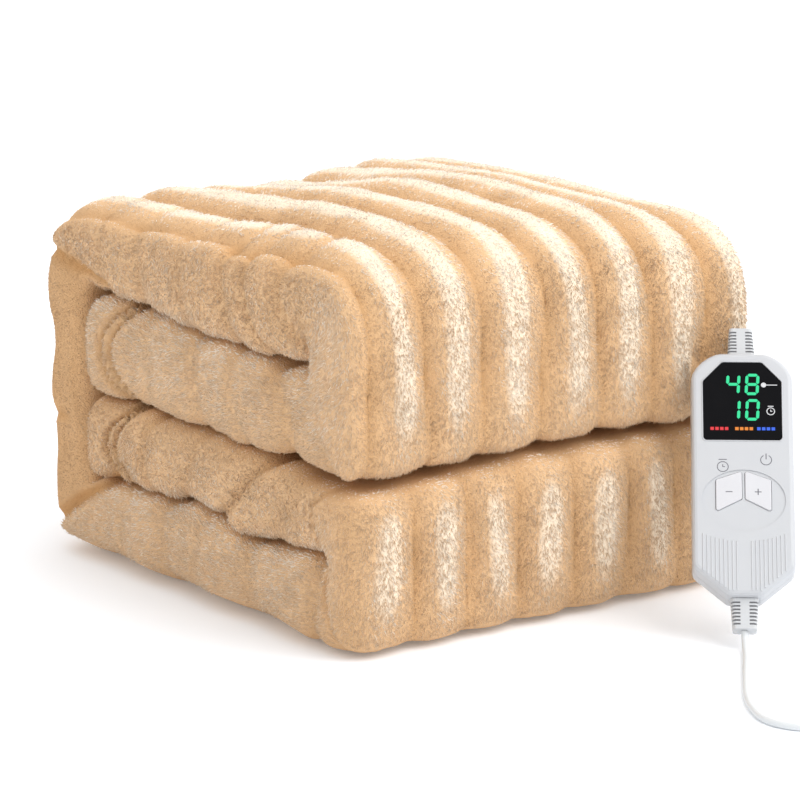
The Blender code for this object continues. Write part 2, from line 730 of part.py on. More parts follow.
def make_tie():
    """A strap round the coil's turns: a loop through the ring, thickened."""
    left, right = -TURNS_WIDE * CORD_R - TIE_INSIDE, TURNS_WIDE * CORD_R + TIE_OUTSIDE
    low, high = TIE_T, COIL_LIFT + TURNS_HIGH * CORD_D + GAP
    loop = rounded([(left, low), (right, low), (right, high), (left, high)], TIE_EDGE_R, 2)
    mesh = bpy.data.meshes.new("lead_tie")
    shape = bmesh.new()
    near = [shape.verts.new((COIL_R + x, -TIE_W / 2, z)) for x, z in loop]
    far = [shape.verts.new((COIL_R + x, TIE_W / 2, z)) for x, z in loop]
    for k in range(len(loop)):
        shape.faces.new((near[k - 1], near[k], far[k], far[k - 1]))
    shape.to_mesh(mesh)
    shape.free()
    tie = add("lead_tie", mesh, CORD_LOOK)
    thicken = tie.modifiers.new("strap", "SOLIDIFY")
    thicken.thickness = TIE_T
    thicken.offset = -1.0
    thicken.use_even_offset = True
    tie.location = COIL_CENTRE
    tie.rotation_euler = (0, 0, TIE_ANGLE)


def from_coil(right, back, z):
    """A point given from the coil's centre, in the coil's own rightward and backward directions."""
    return COIL_CENTRE + Matrix.Rotation(LEAD_TURN, 3, "Z") @ Vector((right, back, z))


def make_plug():
    """A moulded two-blade plug lying beside the coil."""
    frame = bpy.data.objects.new("plug_frame", None)
    PARTS.objects.link(frame)
    frame.location = from_coil(PLUG_TIP[0], PLUG_TIP[1], PLUG_T / 2)
    frame.rotation_euler = (0, 0, LEAD_TURN)
    sleeve = bmesh.new()
    radii = {"radius1": SLEEVE_D[1] / 2, "radius2": SLEEVE_D[0] / 2}
    bmesh.ops.create_cone(sleeve, cap_ends=True, segments=16, depth=SLEEVE_L - GAP, **radii)
    mesh = bpy.data.meshes.new("plug_sleeve")
    sleeve.to_mesh(mesh)
    sleeve.free()
    lying = Matrix.Rotation(-pi / 2, 4, "X")
    mesh.transform(Matrix.Translation((0, (SLEEVE_L - GAP) / 2, 0)) @ lying)
    smooth(mesh)
    add("plug_sleeve", mesh, CORD_LOOK, frame)
    body = box("plug_body", (1, 1, 1), (0, 0.5, 0))
    for vertex in body.vertices:
        wide = PLUG_TAIL_W if vertex.co.y < 0.5 else PLUG_W
        vertex.co = (vertex.co.x * wide, SLEEVE_L + vertex.co.y * PLUG_L, vertex.co.z * PLUG_T)
    plug = add("plug_body", body, CORD_LOOK, frame)
    edges = plug.modifiers.new("rounded edges", "BEVEL")
    edges.width = PLUG_EDGE_R
    edges.segments = 3
    for side, name in ((-1, "plug_blade_left"), (1, "plug_blade_right")):
        middle = SLEEVE_L + PLUG_L + GAP + BLADE[1] / 2
        blade = box(name, BLADE, (side * BLADE_GAP / 2, middle, 0))
        add(name, blade, BRASS_LOOK, frame)


def make_lead():
    axis = controller_turn() @ Vector((0, 0, 1))
    exit_point, straight_to = (CONTROLLER_FOOT - axis * reach for reach in (GAP, LEAD_STRAIGHT))
    tube("mains_lead", [exit_point] + smooth_route([straight_to] + list(LEAD_ROUTE), CORD_STEP))
    make_coil()
    make_tie()
    tail = [from_coil(*place) for place in TAIL_ROUTE]
    tube("lead_tail", smooth_route(tail[:-1], CORD_STEP) + tail[-1:])
    make_plug()


# ---------------------------------------------------------------- the model

for old in list(bpy.data.objects):
    bpy.data.objects.remove(old)

PARTS = collection("electric heated blanket")
CUTTERS = collection("cutters")
CLOTH_LOOK = material("ribbed plush", CLOTH_COLOUR, 0.95)
HOUSING_LOOK = material("white housing", HOUSING_COLOUR, 0.45)
KEY_LOOK = material("white keys", KEY_COLOUR, 0.4)
WINDOW_LOOK = material("dark window", WINDOW_COLOUR, 0.08)
CORD_LOOK = material("white cord", CORD_COLOUR, 0.5)
BRASS_LOOK = material("plug blades", BRASS_COLOUR, 0.25, 1.0)

make_blanket()
make_controller()
make_lead()
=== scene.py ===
"""A folded electric heated blanket with its hand controller and mains lead, dressed for its picture."""

from math import copysign, cos, exp, hypot, pi, radians, sin

import bmesh
import bpy
import numpy as np
from mathutils import Matrix, Vector, noise
from mathutils.bvhtree import BVHTree


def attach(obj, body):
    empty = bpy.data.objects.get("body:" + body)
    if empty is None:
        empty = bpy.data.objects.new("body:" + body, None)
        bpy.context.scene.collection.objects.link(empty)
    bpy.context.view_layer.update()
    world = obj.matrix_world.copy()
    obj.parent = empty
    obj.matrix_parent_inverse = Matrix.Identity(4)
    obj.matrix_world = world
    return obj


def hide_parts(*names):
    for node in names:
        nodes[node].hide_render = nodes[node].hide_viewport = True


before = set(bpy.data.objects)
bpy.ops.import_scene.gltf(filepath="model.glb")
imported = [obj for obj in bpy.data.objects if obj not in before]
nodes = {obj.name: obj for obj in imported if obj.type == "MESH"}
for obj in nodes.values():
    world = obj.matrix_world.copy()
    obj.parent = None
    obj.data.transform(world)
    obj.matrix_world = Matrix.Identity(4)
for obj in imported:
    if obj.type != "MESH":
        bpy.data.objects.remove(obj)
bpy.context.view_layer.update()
BODY = "blanket_and_controller"  # everything but the two keys moves with it

# ---------------- camera
# A long lens from the left of the near corner and a little above, so that the front folds and
# the smooth folded end both show.

CAMERA_AZIMUTH = radians(-36.6)
CAMERA_RISE = radians(13.74)
CAMERA_DISTANCE = 2.697
CAMERA_TARGET = Vector((-0.018, -0.0293, 0.1201))



def linked(name, data):
    made = bpy.data.objects.new(name, data)
    bpy.context.scene.collection.objects.link(made)
    return made


lens = bpy.data.cameras.new("camera")
lens.sensor_width = 36.0
lens.lens = 189.0
lens.clip_end = 60.0
camera = linked("camera", lens)
level = Vector((sin(CAMERA_AZIMUTH), -cos(CAMERA_AZIMUTH), 0)) * cos(CAMERA_RISE)
camera.location = CAMERA_TARGET + CAMERA_DISTANCE * (level + Vector((0, 0, sin(CAMERA_RISE))))
camera.rotation_euler = (pi / 2 - CAMERA_RISE, 0, CAMERA_AZIMUTH)
bpy.context.scene.camera = camera

# ---------------- mains lead
# A round white flex, moulded in soft PVC, that leaves the controller's lower sleeve, curls over
# the table and is wound up into a tied coil of nine turns, with its plug beside the coil.

GAP = 0.0003
CONTROLLER_YAW = radians(-38.5)
CONTROLLER_LEAN = radians(39.0)
CONTROLLER_FOOT = Vector((0.0626, -0.2757, 0.0105))  # tip of the lower sleeve
CORD_D = 0.0044
CORD_R = CORD_D / 2
FLOOR_Z = CORD_R + 0.0001
LEAD_STRAIGHT = 0.003
LEAD_ROUTE = (
    (0.0572, -0.2826, 0.0042),
    (0.0518, -0.2893, FLOOR_Z + 0.0002),
    (0.0425, -0.3001, FLOOR_Z),
    (0.0157, -0.3306, FLOOR_Z),
    (-0.0085, -0.36, FLOOR_Z),
    (-0.02, -0.379, FLOOR_Z),
    (-0.0258, -0.3965, FLOOR_Z),
    (-0.0225, -0.4125, FLOOR_Z),
    (-0.012, -0.4245, FLOOR_Z),
    (0.0035, -0.4365, FLOOR_Z),
    (0.0212, -0.4496, FLOOR_Z),
)
COIL_CENTRE = Vector((0.052, -0.433, 0.0))
COIL_R = 0.0264
COIL_LIFT = 0.0013
COIL_FIRST = radians(-126.6)  # where the free stretch meets the outer turn
COIL_LAST = radians(10.5)  # how far the last turn goes past that place
POINTS_A_TURN = 16
TURNS = (
    # row across the winding (1 is the outer one) and layer, in the order they are wound
    (1, 0), (0, 0), (-1, 0),
    (-1, 1), (0, 1), (1, 1),
    (1, 2), (0, 2), (-1, 2),
)
STEP_OVER = 0.2  # the share of a turn in which it goes over to the next one
LEAD_TURN = radians(-36.6)  # the coil and the plug are laid out along these turned directions
PLUG_TIP = (0.043, 0.018)
PLUG_T = 0.016
OVER_COIL = COIL_LIFT + 3 * CORD_D + GAP + CORD_R
TAIL_ROUTE = (
    (0.016, -0.0195, OVER_COIL),
    (0.0285, -0.0132, OVER_COIL),
    (0.0385, -0.003, OVER_COIL - 0.0018),
    (0.0425, 0.0055, 0.0112),
    (PLUG_TIP[0], PLUG_TIP[1] - 0.005, PLUG_T / 2 + 0.0002),
    (PLUG_TIP[0], PLUG_TIP[1] - 0.0004, PLUG_T / 2),
)


def ease(t):
    t = min(max(t, 0.0), 1.0)
    return t * t * (3 - 2 * t)


def wound():
    """Points of the coil's turns, each of which steps over to the next one towards its end."""
    points = []
    count = POINTS_A_TURN * len(TURNS)
    for k in range(1, count):
        turn, part = divmod(k / POINTS_A_TURN, 1.0)
        here = TURNS[int(turn)]
        after = TURNS[min(int(turn) + 1, len(TURNS) - 1)]
        step = ease((part - (1 - STEP_OVER)) / STEP_OVER)
        row, layer = (a + (b - a) * step for a, b in zip(here, after))
        radius = COIL_R + row * CORD_D
        angle = COIL_FIRST + (2 * pi * len(TURNS) + COIL_LAST) * k / count
        height = COIL_LIFT + CORD_R + layer * CORD_D
        points.append(COIL_CENTRE + Vector((radius * cos(angle), radius * sin(angle), height)))
    return points


def from_coil(right, back, height):
    return COIL_CENTRE + Matrix.Rotation(LEAD_TURN, 3, "Z") @ Vector((right, back, height))


def coated(data, material):
    data.materials.clear()
    data.materials.append(material)


def added(name, data, material, body=BODY):
    """Link a finished piece that rides on a body."""
    made = linked(name, data)
    coated(data, material)
    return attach(made, body)


def new_look(name, roughness, **sockets):
    """A material, its shader and two helpers: one adds a node, and one blends two colours."""
    material = bpy.data.materials.new(name)
    material.use_nodes = True
    tree = material.node_tree
    shader = tree.nodes["Principled BSDF"]
    shader.inputs["Roughness"].default_value = roughness
    for socket, value in sockets.items():
        shader.inputs[socket.replace("_", " ").title()].default_value = value

    def node(kind, inputs=None, **settings):
        made = tree.nodes.new(kind)
        for key, value in settings.items():
            setattr(made, key, value)
        for key, value in (inputs or {}).items():
            if isinstance(value, bpy.types.NodeSocket):
                tree.links.new(value, made.inputs[key])
            else:
                made.inputs[key].default_value = value
        return made

    def blend(low, high, amount):
        made = node("ShaderNodeMix", data_type="RGBA")
        tree.links.new(amount, made.inputs["Factor"])
        for socket, value in (("A", low), ("B", high)):
            if isinstance(value, bpy.types.NodeSocket):
                tree.links.new(value, made.inputs[socket])
            else:
                made.inputs[socket].default_value = (*value, 1.0)
        return made.outputs["Result"]

    return material, shader, node, blend


GLOSS_SPREAD = 0.05  # how much a moulding's roughness differs from place to place


def moulded(name, colour, shade, roughness, grain=900.0, bump=0.06):
    """Moulded plastic: a faint mottle in its colour and gloss, and a fine even grain."""
    material, shader, node, blend = new_look(name, roughness)
    tree = material.node_tree
    place = node("ShaderNodeTexCoord").outputs["Object"]
    mottle = node("ShaderNodeTexNoise", {"Vector": place, "Scale": 60.0, "Detail": 3.0})
    tree.links.new(blend(shade, colour, mottle.outputs["Fac"]), shader.inputs["Base Color"])
    gloss = node("ShaderNodeMapRange", {"Value": mottle.outputs["Fac"]})
    gloss.inputs["To Min"].default_value = roughness - GLOSS_SPREAD
    gloss.inputs["To Max"].default_value = roughness + GLOSS_SPREAD
    tree.links.new(gloss.outputs["Result"], shader.inputs["Roughness"])
    fine = node("ShaderNodeTexNoise", {"Vector": place, "Scale": grain, "Detail": 2.0})
    relief = node("ShaderNodeBump", {"Height": fine.outputs["Fac"], "Strength": bump, "Distance": 0.0003})
    tree.links.new(relief.outputs["Normal"], shader.inputs["Normal"])
    return material


controller_turn = Matrix.Rotation(CONTROLLER_YAW, 3, "Z") @ Matrix.Rotation(-CONTROLLER_LEAN, 3, "X")
controller_axis = controller_turn @ Vector((0, 0, 1))
lead_exit = CONTROLLER_FOOT - controller_axis * GAP
lead_points = [lead_exit, CONTROLLER_FOOT - controller_axis * LEAD_STRAIGHT]
lead_points += [Vector(p) for p in LEAD_ROUTE] + wound() + [from_coil(*p) for p in TAIL_ROUTE]
flex = bpy.data.curves.new("mains_flex", "CURVE")
flex.dimensions = "3D"
flex.bevel_depth = CORD_R
flex.bevel_resolution = 3
flex.resolution_u = 4
flex.use_fill_caps = True
line = flex.splines.new("BEZIER")
line.bezier_points.add(len(lead_points) - 1)
for point, place in zip(line.bezier_points, lead_points):
    point.co = place
    point.handle_left_type = point.handle_right_type = "AUTO"
WHITE_PVC = moulded("white soft PVC", (0.7, 0.72, 0.73), (0.66, 0.68, 0.69), 0.42)
mains_flex = added("mains_flex", flex, WHITE_PVC)
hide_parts("mains_lead", "lead_coil", "lead_tail")
bpy.context.view_layer.update()
BRASS = moulded("nickel-plated brass blades", (0.8, 0.7, 0.48), (0.7, 0.6, 0.4), 0.28, 400.0, 0.03)
BRASS.node_tree.nodes["Principled BSDF"].inputs["Metallic"].default_value = 1.0
soft_parts = [nodes[name] for name in ("lead_tie", "plug_sleeve", "plug_body")]
blades = [nodes[name] for name in ("plug_blade_left", "plug_blade_right")]
lead_company = soft_parts + blades
for piece in lead_company:
    coated(piece.data, BRASS if piece in blades else WHITE_PVC)

# ---------------- folded cloth
# One piece of thick double-sided plush with woven-in ribs, folded in half twice across its width
# and then, as a strip of four layers, with its two ends to the middle and in half.  Its hems are
# rounded, and its folds are gathered a little where the layers inside take up room.

CLOTH = 0.0136
PILE = 0.0018  # how far the fur stands out of the cloth, by which the cloth itself is thinner
LAYER_PITCH = 0.0149
OUTER_LAYER = 1.5 * LAYER_PITCH
INNER_LAYER = 0.5 * LAYER_PITCH
HALF_STRIP = OUTER_LAYER + CLOTH / 2
RIGHT_HEM_X = 0.157
RIGHT_FOLD_X = 0.143
LEFT_FOLD_X = -0.1305
LEFT_FOLD_REACH = 0.022
RIB_PITCH = 0.0448
RIB_VALLEY_X = -0.0035
RIB_HEIGHT = 0.0095
RIB_SHOULDER = 0.82  # the height up a rib above which its fur gets painted highlight, and below which painted shade
RIB_LEAN = -0.0215  # how far the ribs have moved sideways at the strip's far end
RIB_CROWDING = 0.065  # how much closer they lie there
RIB_WANDER_LENGTH = 1.2  # along the strip, over which they move and crowd
RIB_WANDERS = ((0.0024, 0.17, 40), (0.0013, 0.061, 95))  # how far, over what length, change across
RIB_ROUNDNESS = 0.72  # a lower power is a rounder rib with a narrower valley
RIB_UNEVEN = 0.25
RIB_STATIONS = 10
UNDERSIDE, UNDERSIDE_FADE = radians(105), radians(60)  # the facings at which the ribs fade
BACK_FROM, BACK_TO, BACK_FADE = radians(100), radians(260), radians(60)
TUCKED, TUCKED_FADE = radians(290), radians(40)
TUCKED_SHADE = 0.35  # how dark the fur is where one run lies on another
TOP_Z, SECOND_Z, THIRD_Z, BOTTOM_Z = 0.2138, 0.1475, 0.083, 0.0283
FULL_TOP, FULL_SECOND, FULL_THIRD, FULL_BOTTOM = 1.0, 1.42, 0.93, 1.03
FULL_UPPER_FOLD, FULL_LOWER_FOLD = 1.2, 0.97
FULL_BACK_TOP, FULL_BACK, FULL_BACK_FOOT = 0.86, 0.86, 0.96
FULL_FOOT_CORNER = 0.8
FULL_SECOND_END, FULL_THIRD_END = 1.22, 1.02
FULL_SOON = 0.45  # a lower power brings a run to its fullness closer to its ends
SQUARE_UPPER_FRONT, SQUARE_UPPER_FRONT_FOOT = 2.8, 12.0
SQUARE_LOWER_FRONT, SQUARE_LOWER_FRONT_TOP = 8.0, 6.0
SQUARE_BACK_TOP, SQUARE_BACK_FOOT = 3.6, 6.0
SQUARE_SIDE = 3.8
TO_CORNERS = 0.12
UPPER_FOLD_Y = -0.0966
LOWER_FOLD_Y = -0.11
BACK_TOP_Y = 0.1258
BACK_TOP_R = 0.034
BACK_FOOT_R = 0.032
BACK_LEAN = radians(0.6)
SECOND_END_Y = 0.1275
THIRD_END_Y = 0.1265
END_STEP = 0.0013  # between stations beside the strip's two ends
END_STATIONS = 30
END_SEAMS = ((0.019, 0.0075), (0.029, 0.007))  # grooves of the layers' edges: place and depth
END_SEAM_BOW = 46.0  # how they bend away from the end above and below
END_SEAM_WIDTH = 0.0024
END_SEAM_X, END_SEAM_FADE = -0.08, 0.03  # they show only to the left of here
HEM_STEPS = 5
INNER_HEM_STEP = 0.003  # how much shorter the inner layers are at the hems
LEAST_ROUNDING = 0.3
CROWN = 0.01  # how far the top's middle stands above its edges
CROWN_HALF_LENGTH, CROWN_HALF_DEPTH, CROWN_Y = 0.17, 0.2, 0.02
RIGHT_SAG, RIGHT_SAG_FROM, RIGHT_SAG_FULL = 0.01, 0.05, 0.11
BACK_SAG, BACK_SAG_X, BACK_SAG_WIDTH = 0.018, 0.005, 0.085
BACK_SAG_FROM, BACK_SAG_FULL = 0.02, 0.16
LEFT_SAG, LEFT_SAG_FROM, LEFT_SAG_FULL = 0.008, -0.05, 0.06
LEFT_SAG_Y, LEFT_SAG_FADE = 0.09, 0.12
PUCKER = 0.002
PUCKER_PITCH = 0.082
PUCKER_DRIFT, PUCKER_DRIFT_RATE = 0.8, 9
LUMPS = ((0.0011, 26), (0.0006, 75))  # the cloth's unevenness: how high and how many to a metre
LUMPS_THROUGH = 90
CREASE_HALF_WIDTH = 0.0058
CREASE_SHADE = 70.0  # how dark it is for its depth
CREASE_REACH = 0.05  # how far it goes on over the top from the fold
CREASES = {
    # by the height of the run's middle: each crease's place along it, depth, lean and bow
    TOP_Z: (
        (0.105, 0.0016, 0.004, 0.01),
        (0.066, 0.0022, 0.006, 0.004),
        (0.012, 0.002, 0.008, 0.0),
        (-0.027, 0.0036, 0.01, -0.008),
        (-0.054, 0.0046, 0.012, -0.01),
        (-0.087, 0.005, 0.013, -0.012),
    ),
    SECOND_Z: (
        (0.05, 0.0012, 0.0, 0.01),
        (0.002, 0.0018, 0.004, 0.0),
        (-0.045, 0.0022, 0.006, 0.0),
        (-0.086, 0.0044, 0.004, 0.006),
    ),
    THIRD_Z: (
        (0.06, 0.0034, 0.0, -0.012),
        (0.01, 0.0018, -0.014, 0.0),
        (-0.045, 0.005, -0.026, 0.0),
        (-0.085, 0.0022, -0.01, 0.0),
    ),
    BOTTOM_Z: (
        (0.085, 0.0012, 0.0, 0.0),
        (0.04, 0.0016, 0.004, 0.0),
        (0.0, 0.0015, -0.004, 0.0),
        (-0.055, 0.0018, 0.004, 0.0),
        (-0.107, 0.004, 0.0, 0.004),
    ),
}
CREASE_SPAN = 0.027  # the height above or below a run's middle at which lean and bow are reached
SAME_RUN = 0.002
SLITS = (0.0573, 0.1087, 0.187)  # heights of the slits between the runs
SLIPS = (  # how far they lie off at the left end: place along, then from the lowest slit to the highest
    (-0.175, 0.0, 0.0, 0.0),
    (-0.14, 0.004, -0.005, -0.001),
    (-0.105, 0.0035, -0.004, -0.009),
    (-0.075, -0.001, 0.0015, -0.013),
    (-0.042, -0.003, 0.003, -0.0125),
    (-0.01, 0.0055, 0.0055, -0.01),
    (0.015, 0.0075, 0.006, -0.007),
    (0.04, 0.003, 0.007, -0.005),
    (0.092, 0.0015, 0.005, 0.0),
    (0.14, 0.0, 0.003, 0.0),
    (0.19, 0.0, 0.0, 0.0),
)
SLIP_FROM_X, SLIP_FULL_X = -0.02, -0.11
FLAP = (  # the left edge of the front folds' outer layer: height, place along and how distinct
    (0.0, -0.15, 0.1),
    (0.024, -0.14, 0.5),
    (0.04, -0.134, 0.8),
    (0.059, -0.1367, 1.0),
    (0.067, -0.1326, 1.0),
    (0.081, -0.1286, 0.9),
    (0.092, -0.124, 0.7),
    (0.102, -0.134, 0.3),
    (0.107, -0.142, 0.4),
    (0.118, -0.1413, 0.9),
    (0.129, -0.1385, 1.0),
    (0.153, -0.1275, 1.0),
    (0.164, -0.125, 1.0),
    (0.186, -0.117, 0.9),
    (0.2, -0.115, 0.3),
    (0.22, -0.11, 0.0),
)
FLAP_GROOVE, FLAP_STEP = 0.006, 0.0065
FLAP_WIDTH = 0.0034
FLAP_STEP_SOON, FLAP_STEP_REACH = 0.008, 0.03
SLIT_ENDS_FORWARD = ((0.0, 0.018), (0.12, 0.018), (0.15, 0.012), (0.25, 0.012))
SLIT_ENDS_Y, SLIT_ENDS_WIDTH, SLIT_ENDS_REACH = -0.105, 0.025, 0.04
BACK_CORNERS = (  # creases from the back's edge to the slits: two ends (Y, Z) and which way is recessed
    ((0.182, 0.205), (0.1, 0.1885), -1),
    ((0.168, 0.02), (0.1, 0.066), 1),
)
BACK_CORNER_WIDTH, BACK_CORNER_FADE = 0.0042, 0.012
BACK_RECESS, BACK_GROOVE, BACK_RECESS_SHADE = 0.004, 0.006, 0.6
RECESS_FOOT = (0.096, 0.06, 0.55)  # the recess's lower edge: place along, height and how it falls
RECESS_TOP = (0.1, 0.1885, 0.2)  # and its upper one, with how it rises
RECESS_FROM, RECESS_FULL = 0.118, 0.03
SPINE_CREASE = (0.093, 0.005, 0.0045)  # its height, depth and half width
SPINE_FROM, SPINE_FADE = 0.15, 0.012
SPINE_LEFT_OF, SPINE_LEFT_FADE = 0.02, 0.08
TUCK, TUCK_Z = 0.013, 0.024  # how the lower edge goes under at the left, and from what height
TUCK_FROM, TUCK_FULL = 0.14, 0.08
AT_LEFT, AT_LEFT_FADE = 0.01, 0.016  # where the left end's own dents begin


def across_strip():
    """Stations across the cloth: X, height, facing X and height, pucker and fullness."""
    stations = hem(RIGHT_HEM_X, OUTER_LAYER, 1)
    step = RIB_PITCH / RIB_STATIONS
    steps = int((RIGHT_HEM_X - CLOTH / 2 - LEFT_FOLD_X) / step)
    for k in range(1, steps):
        stations.append((RIGHT_HEM_X - CLOTH / 2 - k * step, OUTER_LAYER, 0, 1, 0, 1))
    stations += fold(LEFT_FOLD_X, 0, -LEFT_FOLD_REACH, OUTER_LAYER, 24, pucker=True)
    stations += leg(LEFT_FOLD_X, RIGHT_FOLD_X, -OUTER_LAYER, 3)
    stations += fold(RIGHT_FOLD_X, -LAYER_PITCH, LAYER_PITCH / 2, -LAYER_PITCH / 2, 6)
    stations += leg(RIGHT_FOLD_X, LEFT_FOLD_X, -INNER_LAYER, 3)
    stations += fold(LEFT_FOLD_X, 0, -INNER_LAYER, -INNER_LAYER, 4, facing=-1)
    stations += leg(LEFT_FOLD_X, RIGHT_HEM_X - CLOTH / 2, INNER_LAYER, 3)
    stations += reversed(hem(RIGHT_HEM_X - INNER_HEM_STEP, INNER_LAYER, -1))
    return stations


def hem(x, height, facing):
    """Stations from a hem inward, over which the cloth comes up to its full thickness."""
    made = []
    for k in range(1, HEM_STEPS + 1):
        a = pi / 2 * k / HEM_STEPS
        made.append((x - CLOTH / 2 * (1 - cos(a)), height, 0, facing, 0, sin(a)))
    return made


def leg(x0, x1, height, steps):
    """Stations along a straight layer, without its ends."""
    way = 1 if x1 > x0 else -1
    return [(x0 + (x1 - x0) * k / steps, height, 0, -way, 0, 1) for k in range(1, steps)]


def fold(x, height, reach, half, steps, pucker=False, facing=1):
    """Stations round half an ellipse, or a squarer one, from one side of its centre to the other."""
    square = SQUARE_SIDE if pucker else 2.0
    made = []
    for k in range(steps + 1):
        a = pi * k / steps
        across = copysign(abs(sin(a)) ** (2 / square), reach)
        along = copysign(abs(cos(a)) ** (2 / square), cos(a) * half)
        out_x, out_h = abs(reach) * across, abs(half) * along
        steep_x = copysign(abs(across) ** (square - 1), across) / abs(reach)
        steep_h = copysign(abs(along) ** (square - 1), along) / abs(half)
        slope = Vector((steep_x, steep_h)).normalized() * facing
        made.append((x + out_x, height + out_h, slope.x, slope.y, sin(a) if pucker else 0, 1))
    return made


def along_strip():
    """Stations along the strip's middle: Y, Z, facing, fullness and the corners' fullness."""
    back_top_z = TOP_Z - BACK_TOP_R
    back_foot_z = BOTTOM_Z + BACK_FOOT_R
    fall = back_top_z - back_foot_z - (BACK_TOP_R - BACK_FOOT_R) * sin(BACK_LEAN)
    straight = fall / cos(BACK_LEAN)
    back_foot_y = BACK_TOP_Y + (BACK_TOP_R - BACK_FOOT_R) * cos(BACK_LEAN)
    back_foot_y -= straight * sin(BACK_LEAN)
    upper_r = (TOP_Z - SECOND_Z) / 2
    lower_r = (THIRD_Z - BOTTOM_Z) / 2
    # each bend's centre and radius; its first and last facing and its stations
    rounds = (
        ((UPPER_FOLD_Y, SECOND_Z + upper_r, upper_r), (-pi, 0.0, 56)),
        ((BACK_TOP_Y, back_top_z, BACK_TOP_R), (0.0, pi / 2 + BACK_LEAN, 16)),
        ((back_foot_y, back_foot_z, BACK_FOOT_R), (pi / 2 + BACK_LEAN, pi, 12)),
        ((LOWER_FOLD_Y, BOTTOM_Z + lower_r, lower_r), (pi, 2 * pi, 52)),
    )
    # its fullness at its start, middle and end; the squareness of its two halves
    forms = (
        ((FULL_UPPER_FOLD, FULL_UPPER_FOLD, FULL_TOP), (SQUARE_UPPER_FRONT_FOOT, SQUARE_UPPER_FRONT)),
        ((FULL_TOP, FULL_BACK_TOP, FULL_BACK), (SQUARE_BACK_TOP, SQUARE_BACK_TOP)),
        ((FULL_BACK_FOOT, FULL_FOOT_CORNER, FULL_BOTTOM), (SQUARE_BACK_FOOT, SQUARE_BACK_FOOT)),
        ((FULL_LOWER_FOLD, FULL_LOWER_FOLD, FULL_THIRD), (SQUARE_LOWER_FRONT, SQUARE_LOWER_FRONT_TOP)),
    )
    runs = (42, 56, 18, 42, 44)  # the stations of the straight runs before, between and after them
    middles = (FULL_SECOND, FULL_TOP, FULL_BACK, FULL_BOTTOM, FULL_THIRD)
    beside_end = [k * END_STEP for k in range(END_STATIONS)]
    start = (SECOND_END_Y, SECOND_Z, -pi, FULL_SECOND_END, 1.0)
    stations = []
    for i, (((cy, cz, r), (a0, a1, steps)), (fulls, squares)) in enumerate(zip(rounds, forms)):
        arc = []
        for k in range(steps + 1):
            t = k / steps
            a = a0 + (a1 - a0) * t
            a += TO_CORNERS * sin(4 * a)
            half = 0 if t < 0.5 else 1
            full = fulls[half] + (fulls[half + 1] - fulls[half]) * ease(2 * t - half)
            square = squares[half]
            wide = (abs(cos(a)) ** square + abs(sin(a)) ** square) ** (-1 / square)
            corner = ((r + HALF_STRIP * full) * wide - r) / (HALF_STRIP * full)
            arc.append((cy + r * sin(a), cz + r * cos(a), a, full, corner))
        stations += stretch(start, arc[0], runs[i], middles[i], [] if stations else beside_end)
        stations += arc
        start = arc[-1]
    end = (THIRD_END_Y, THIRD_Z, 2 * pi, FULL_THIRD_END, 1.0)
    last_run = stretch(end, start, runs[4], middles[4], beside_end)
    return stations + last_run[::-1]


def stretch(start, end, steps, middle, beside_start):
    """Stations of a straight run without its ends, but from its start on where it is a free end."""
    length = hypot(end[0] - start[0], end[1] - start[1])
    near = beside_start[-1] / length if beside_start else 0.0
    parts = [place / length for place in beside_start]
    parts += [near + (1 - near) * k / steps for k in range(1, steps)]
    made = []
    for t in parts:
        full = start[3] + (end[3] - start[3]) * t
        full += (middle - full) * sin(pi * t) ** FULL_SOON if 0 < t < 1 else 0.0
        y, z = (start[i] + (end[i] - start[i]) * t for i in (0, 1))
        made.append((y, z, start[2], full, 1.0))
    return made


def rib_amount(facing):
    """How far the ribs stand out: fully on what shows, and not where one run lies on another."""
    underside = ease((abs(facing) - UNDERSIDE) / UNDERSIDE_FADE) if facing < 0 else 0.0
    back = ease((facing - BACK_FROM) / BACK_FADE) * ease((BACK_TO - facing) / BACK_FADE)
    tucked = ease((facing - TUCKED) / TUCKED_FADE)
    return max(0.0, 1 - max(underside, back, tucked))


def ridge(x, travelled):
    """A rib's height at X, from 0 in a valley to 1 on its crown; the ribs wander as they go."""
    far = ease(travelled / RIB_WANDER_LENGTH)
    x -= RIB_VALLEY_X + RIB_LEAN * far - RIB_CROWDING * far * x
    x += sum(reach * sin(2 * pi * travelled / length + rate * x) for reach, length, rate in RIB_WANDERS)
    return abs(sin(pi * x / RIB_PITCH)) ** RIB_ROUNDNESS


def creased(x, y, z, above):
    """How deep the gathers beside the left fold are here, so far above the run's middle."""
    depth = 0.0
    rise = max(-1.0, min(above / CREASE_SPAN, 1.0))
    for run_z, run in CREASES.items():
        if abs(z - run_z) < SAME_RUN:
            for place, deep, lean, bow in run:
                off = y - place - lean * rise - bow * rise**2
                depth += deep * exp(-((off / CREASE_HALF_WIDTH) ** 2))
    return depth * ease(1 - (x - LEFT_FOLD_X) / CREASE_REACH)


def slipped(y, z):
    """How far up or down the left end lies off here, by the slits between its runs."""
    for before, after in zip(SLIPS, SLIPS[1:]):
        if before[0] <= y <= after[0]:
            t = ease((y - before[0]) / (after[0] - before[0]))
            slips = [a + (b - a) * t for a, b in zip(before[1:], after[1:])]
            return float(np.interp(z, (0.0, *SLITS, 0.25), (0.0, *slips, 0.0)))
    return 0.0


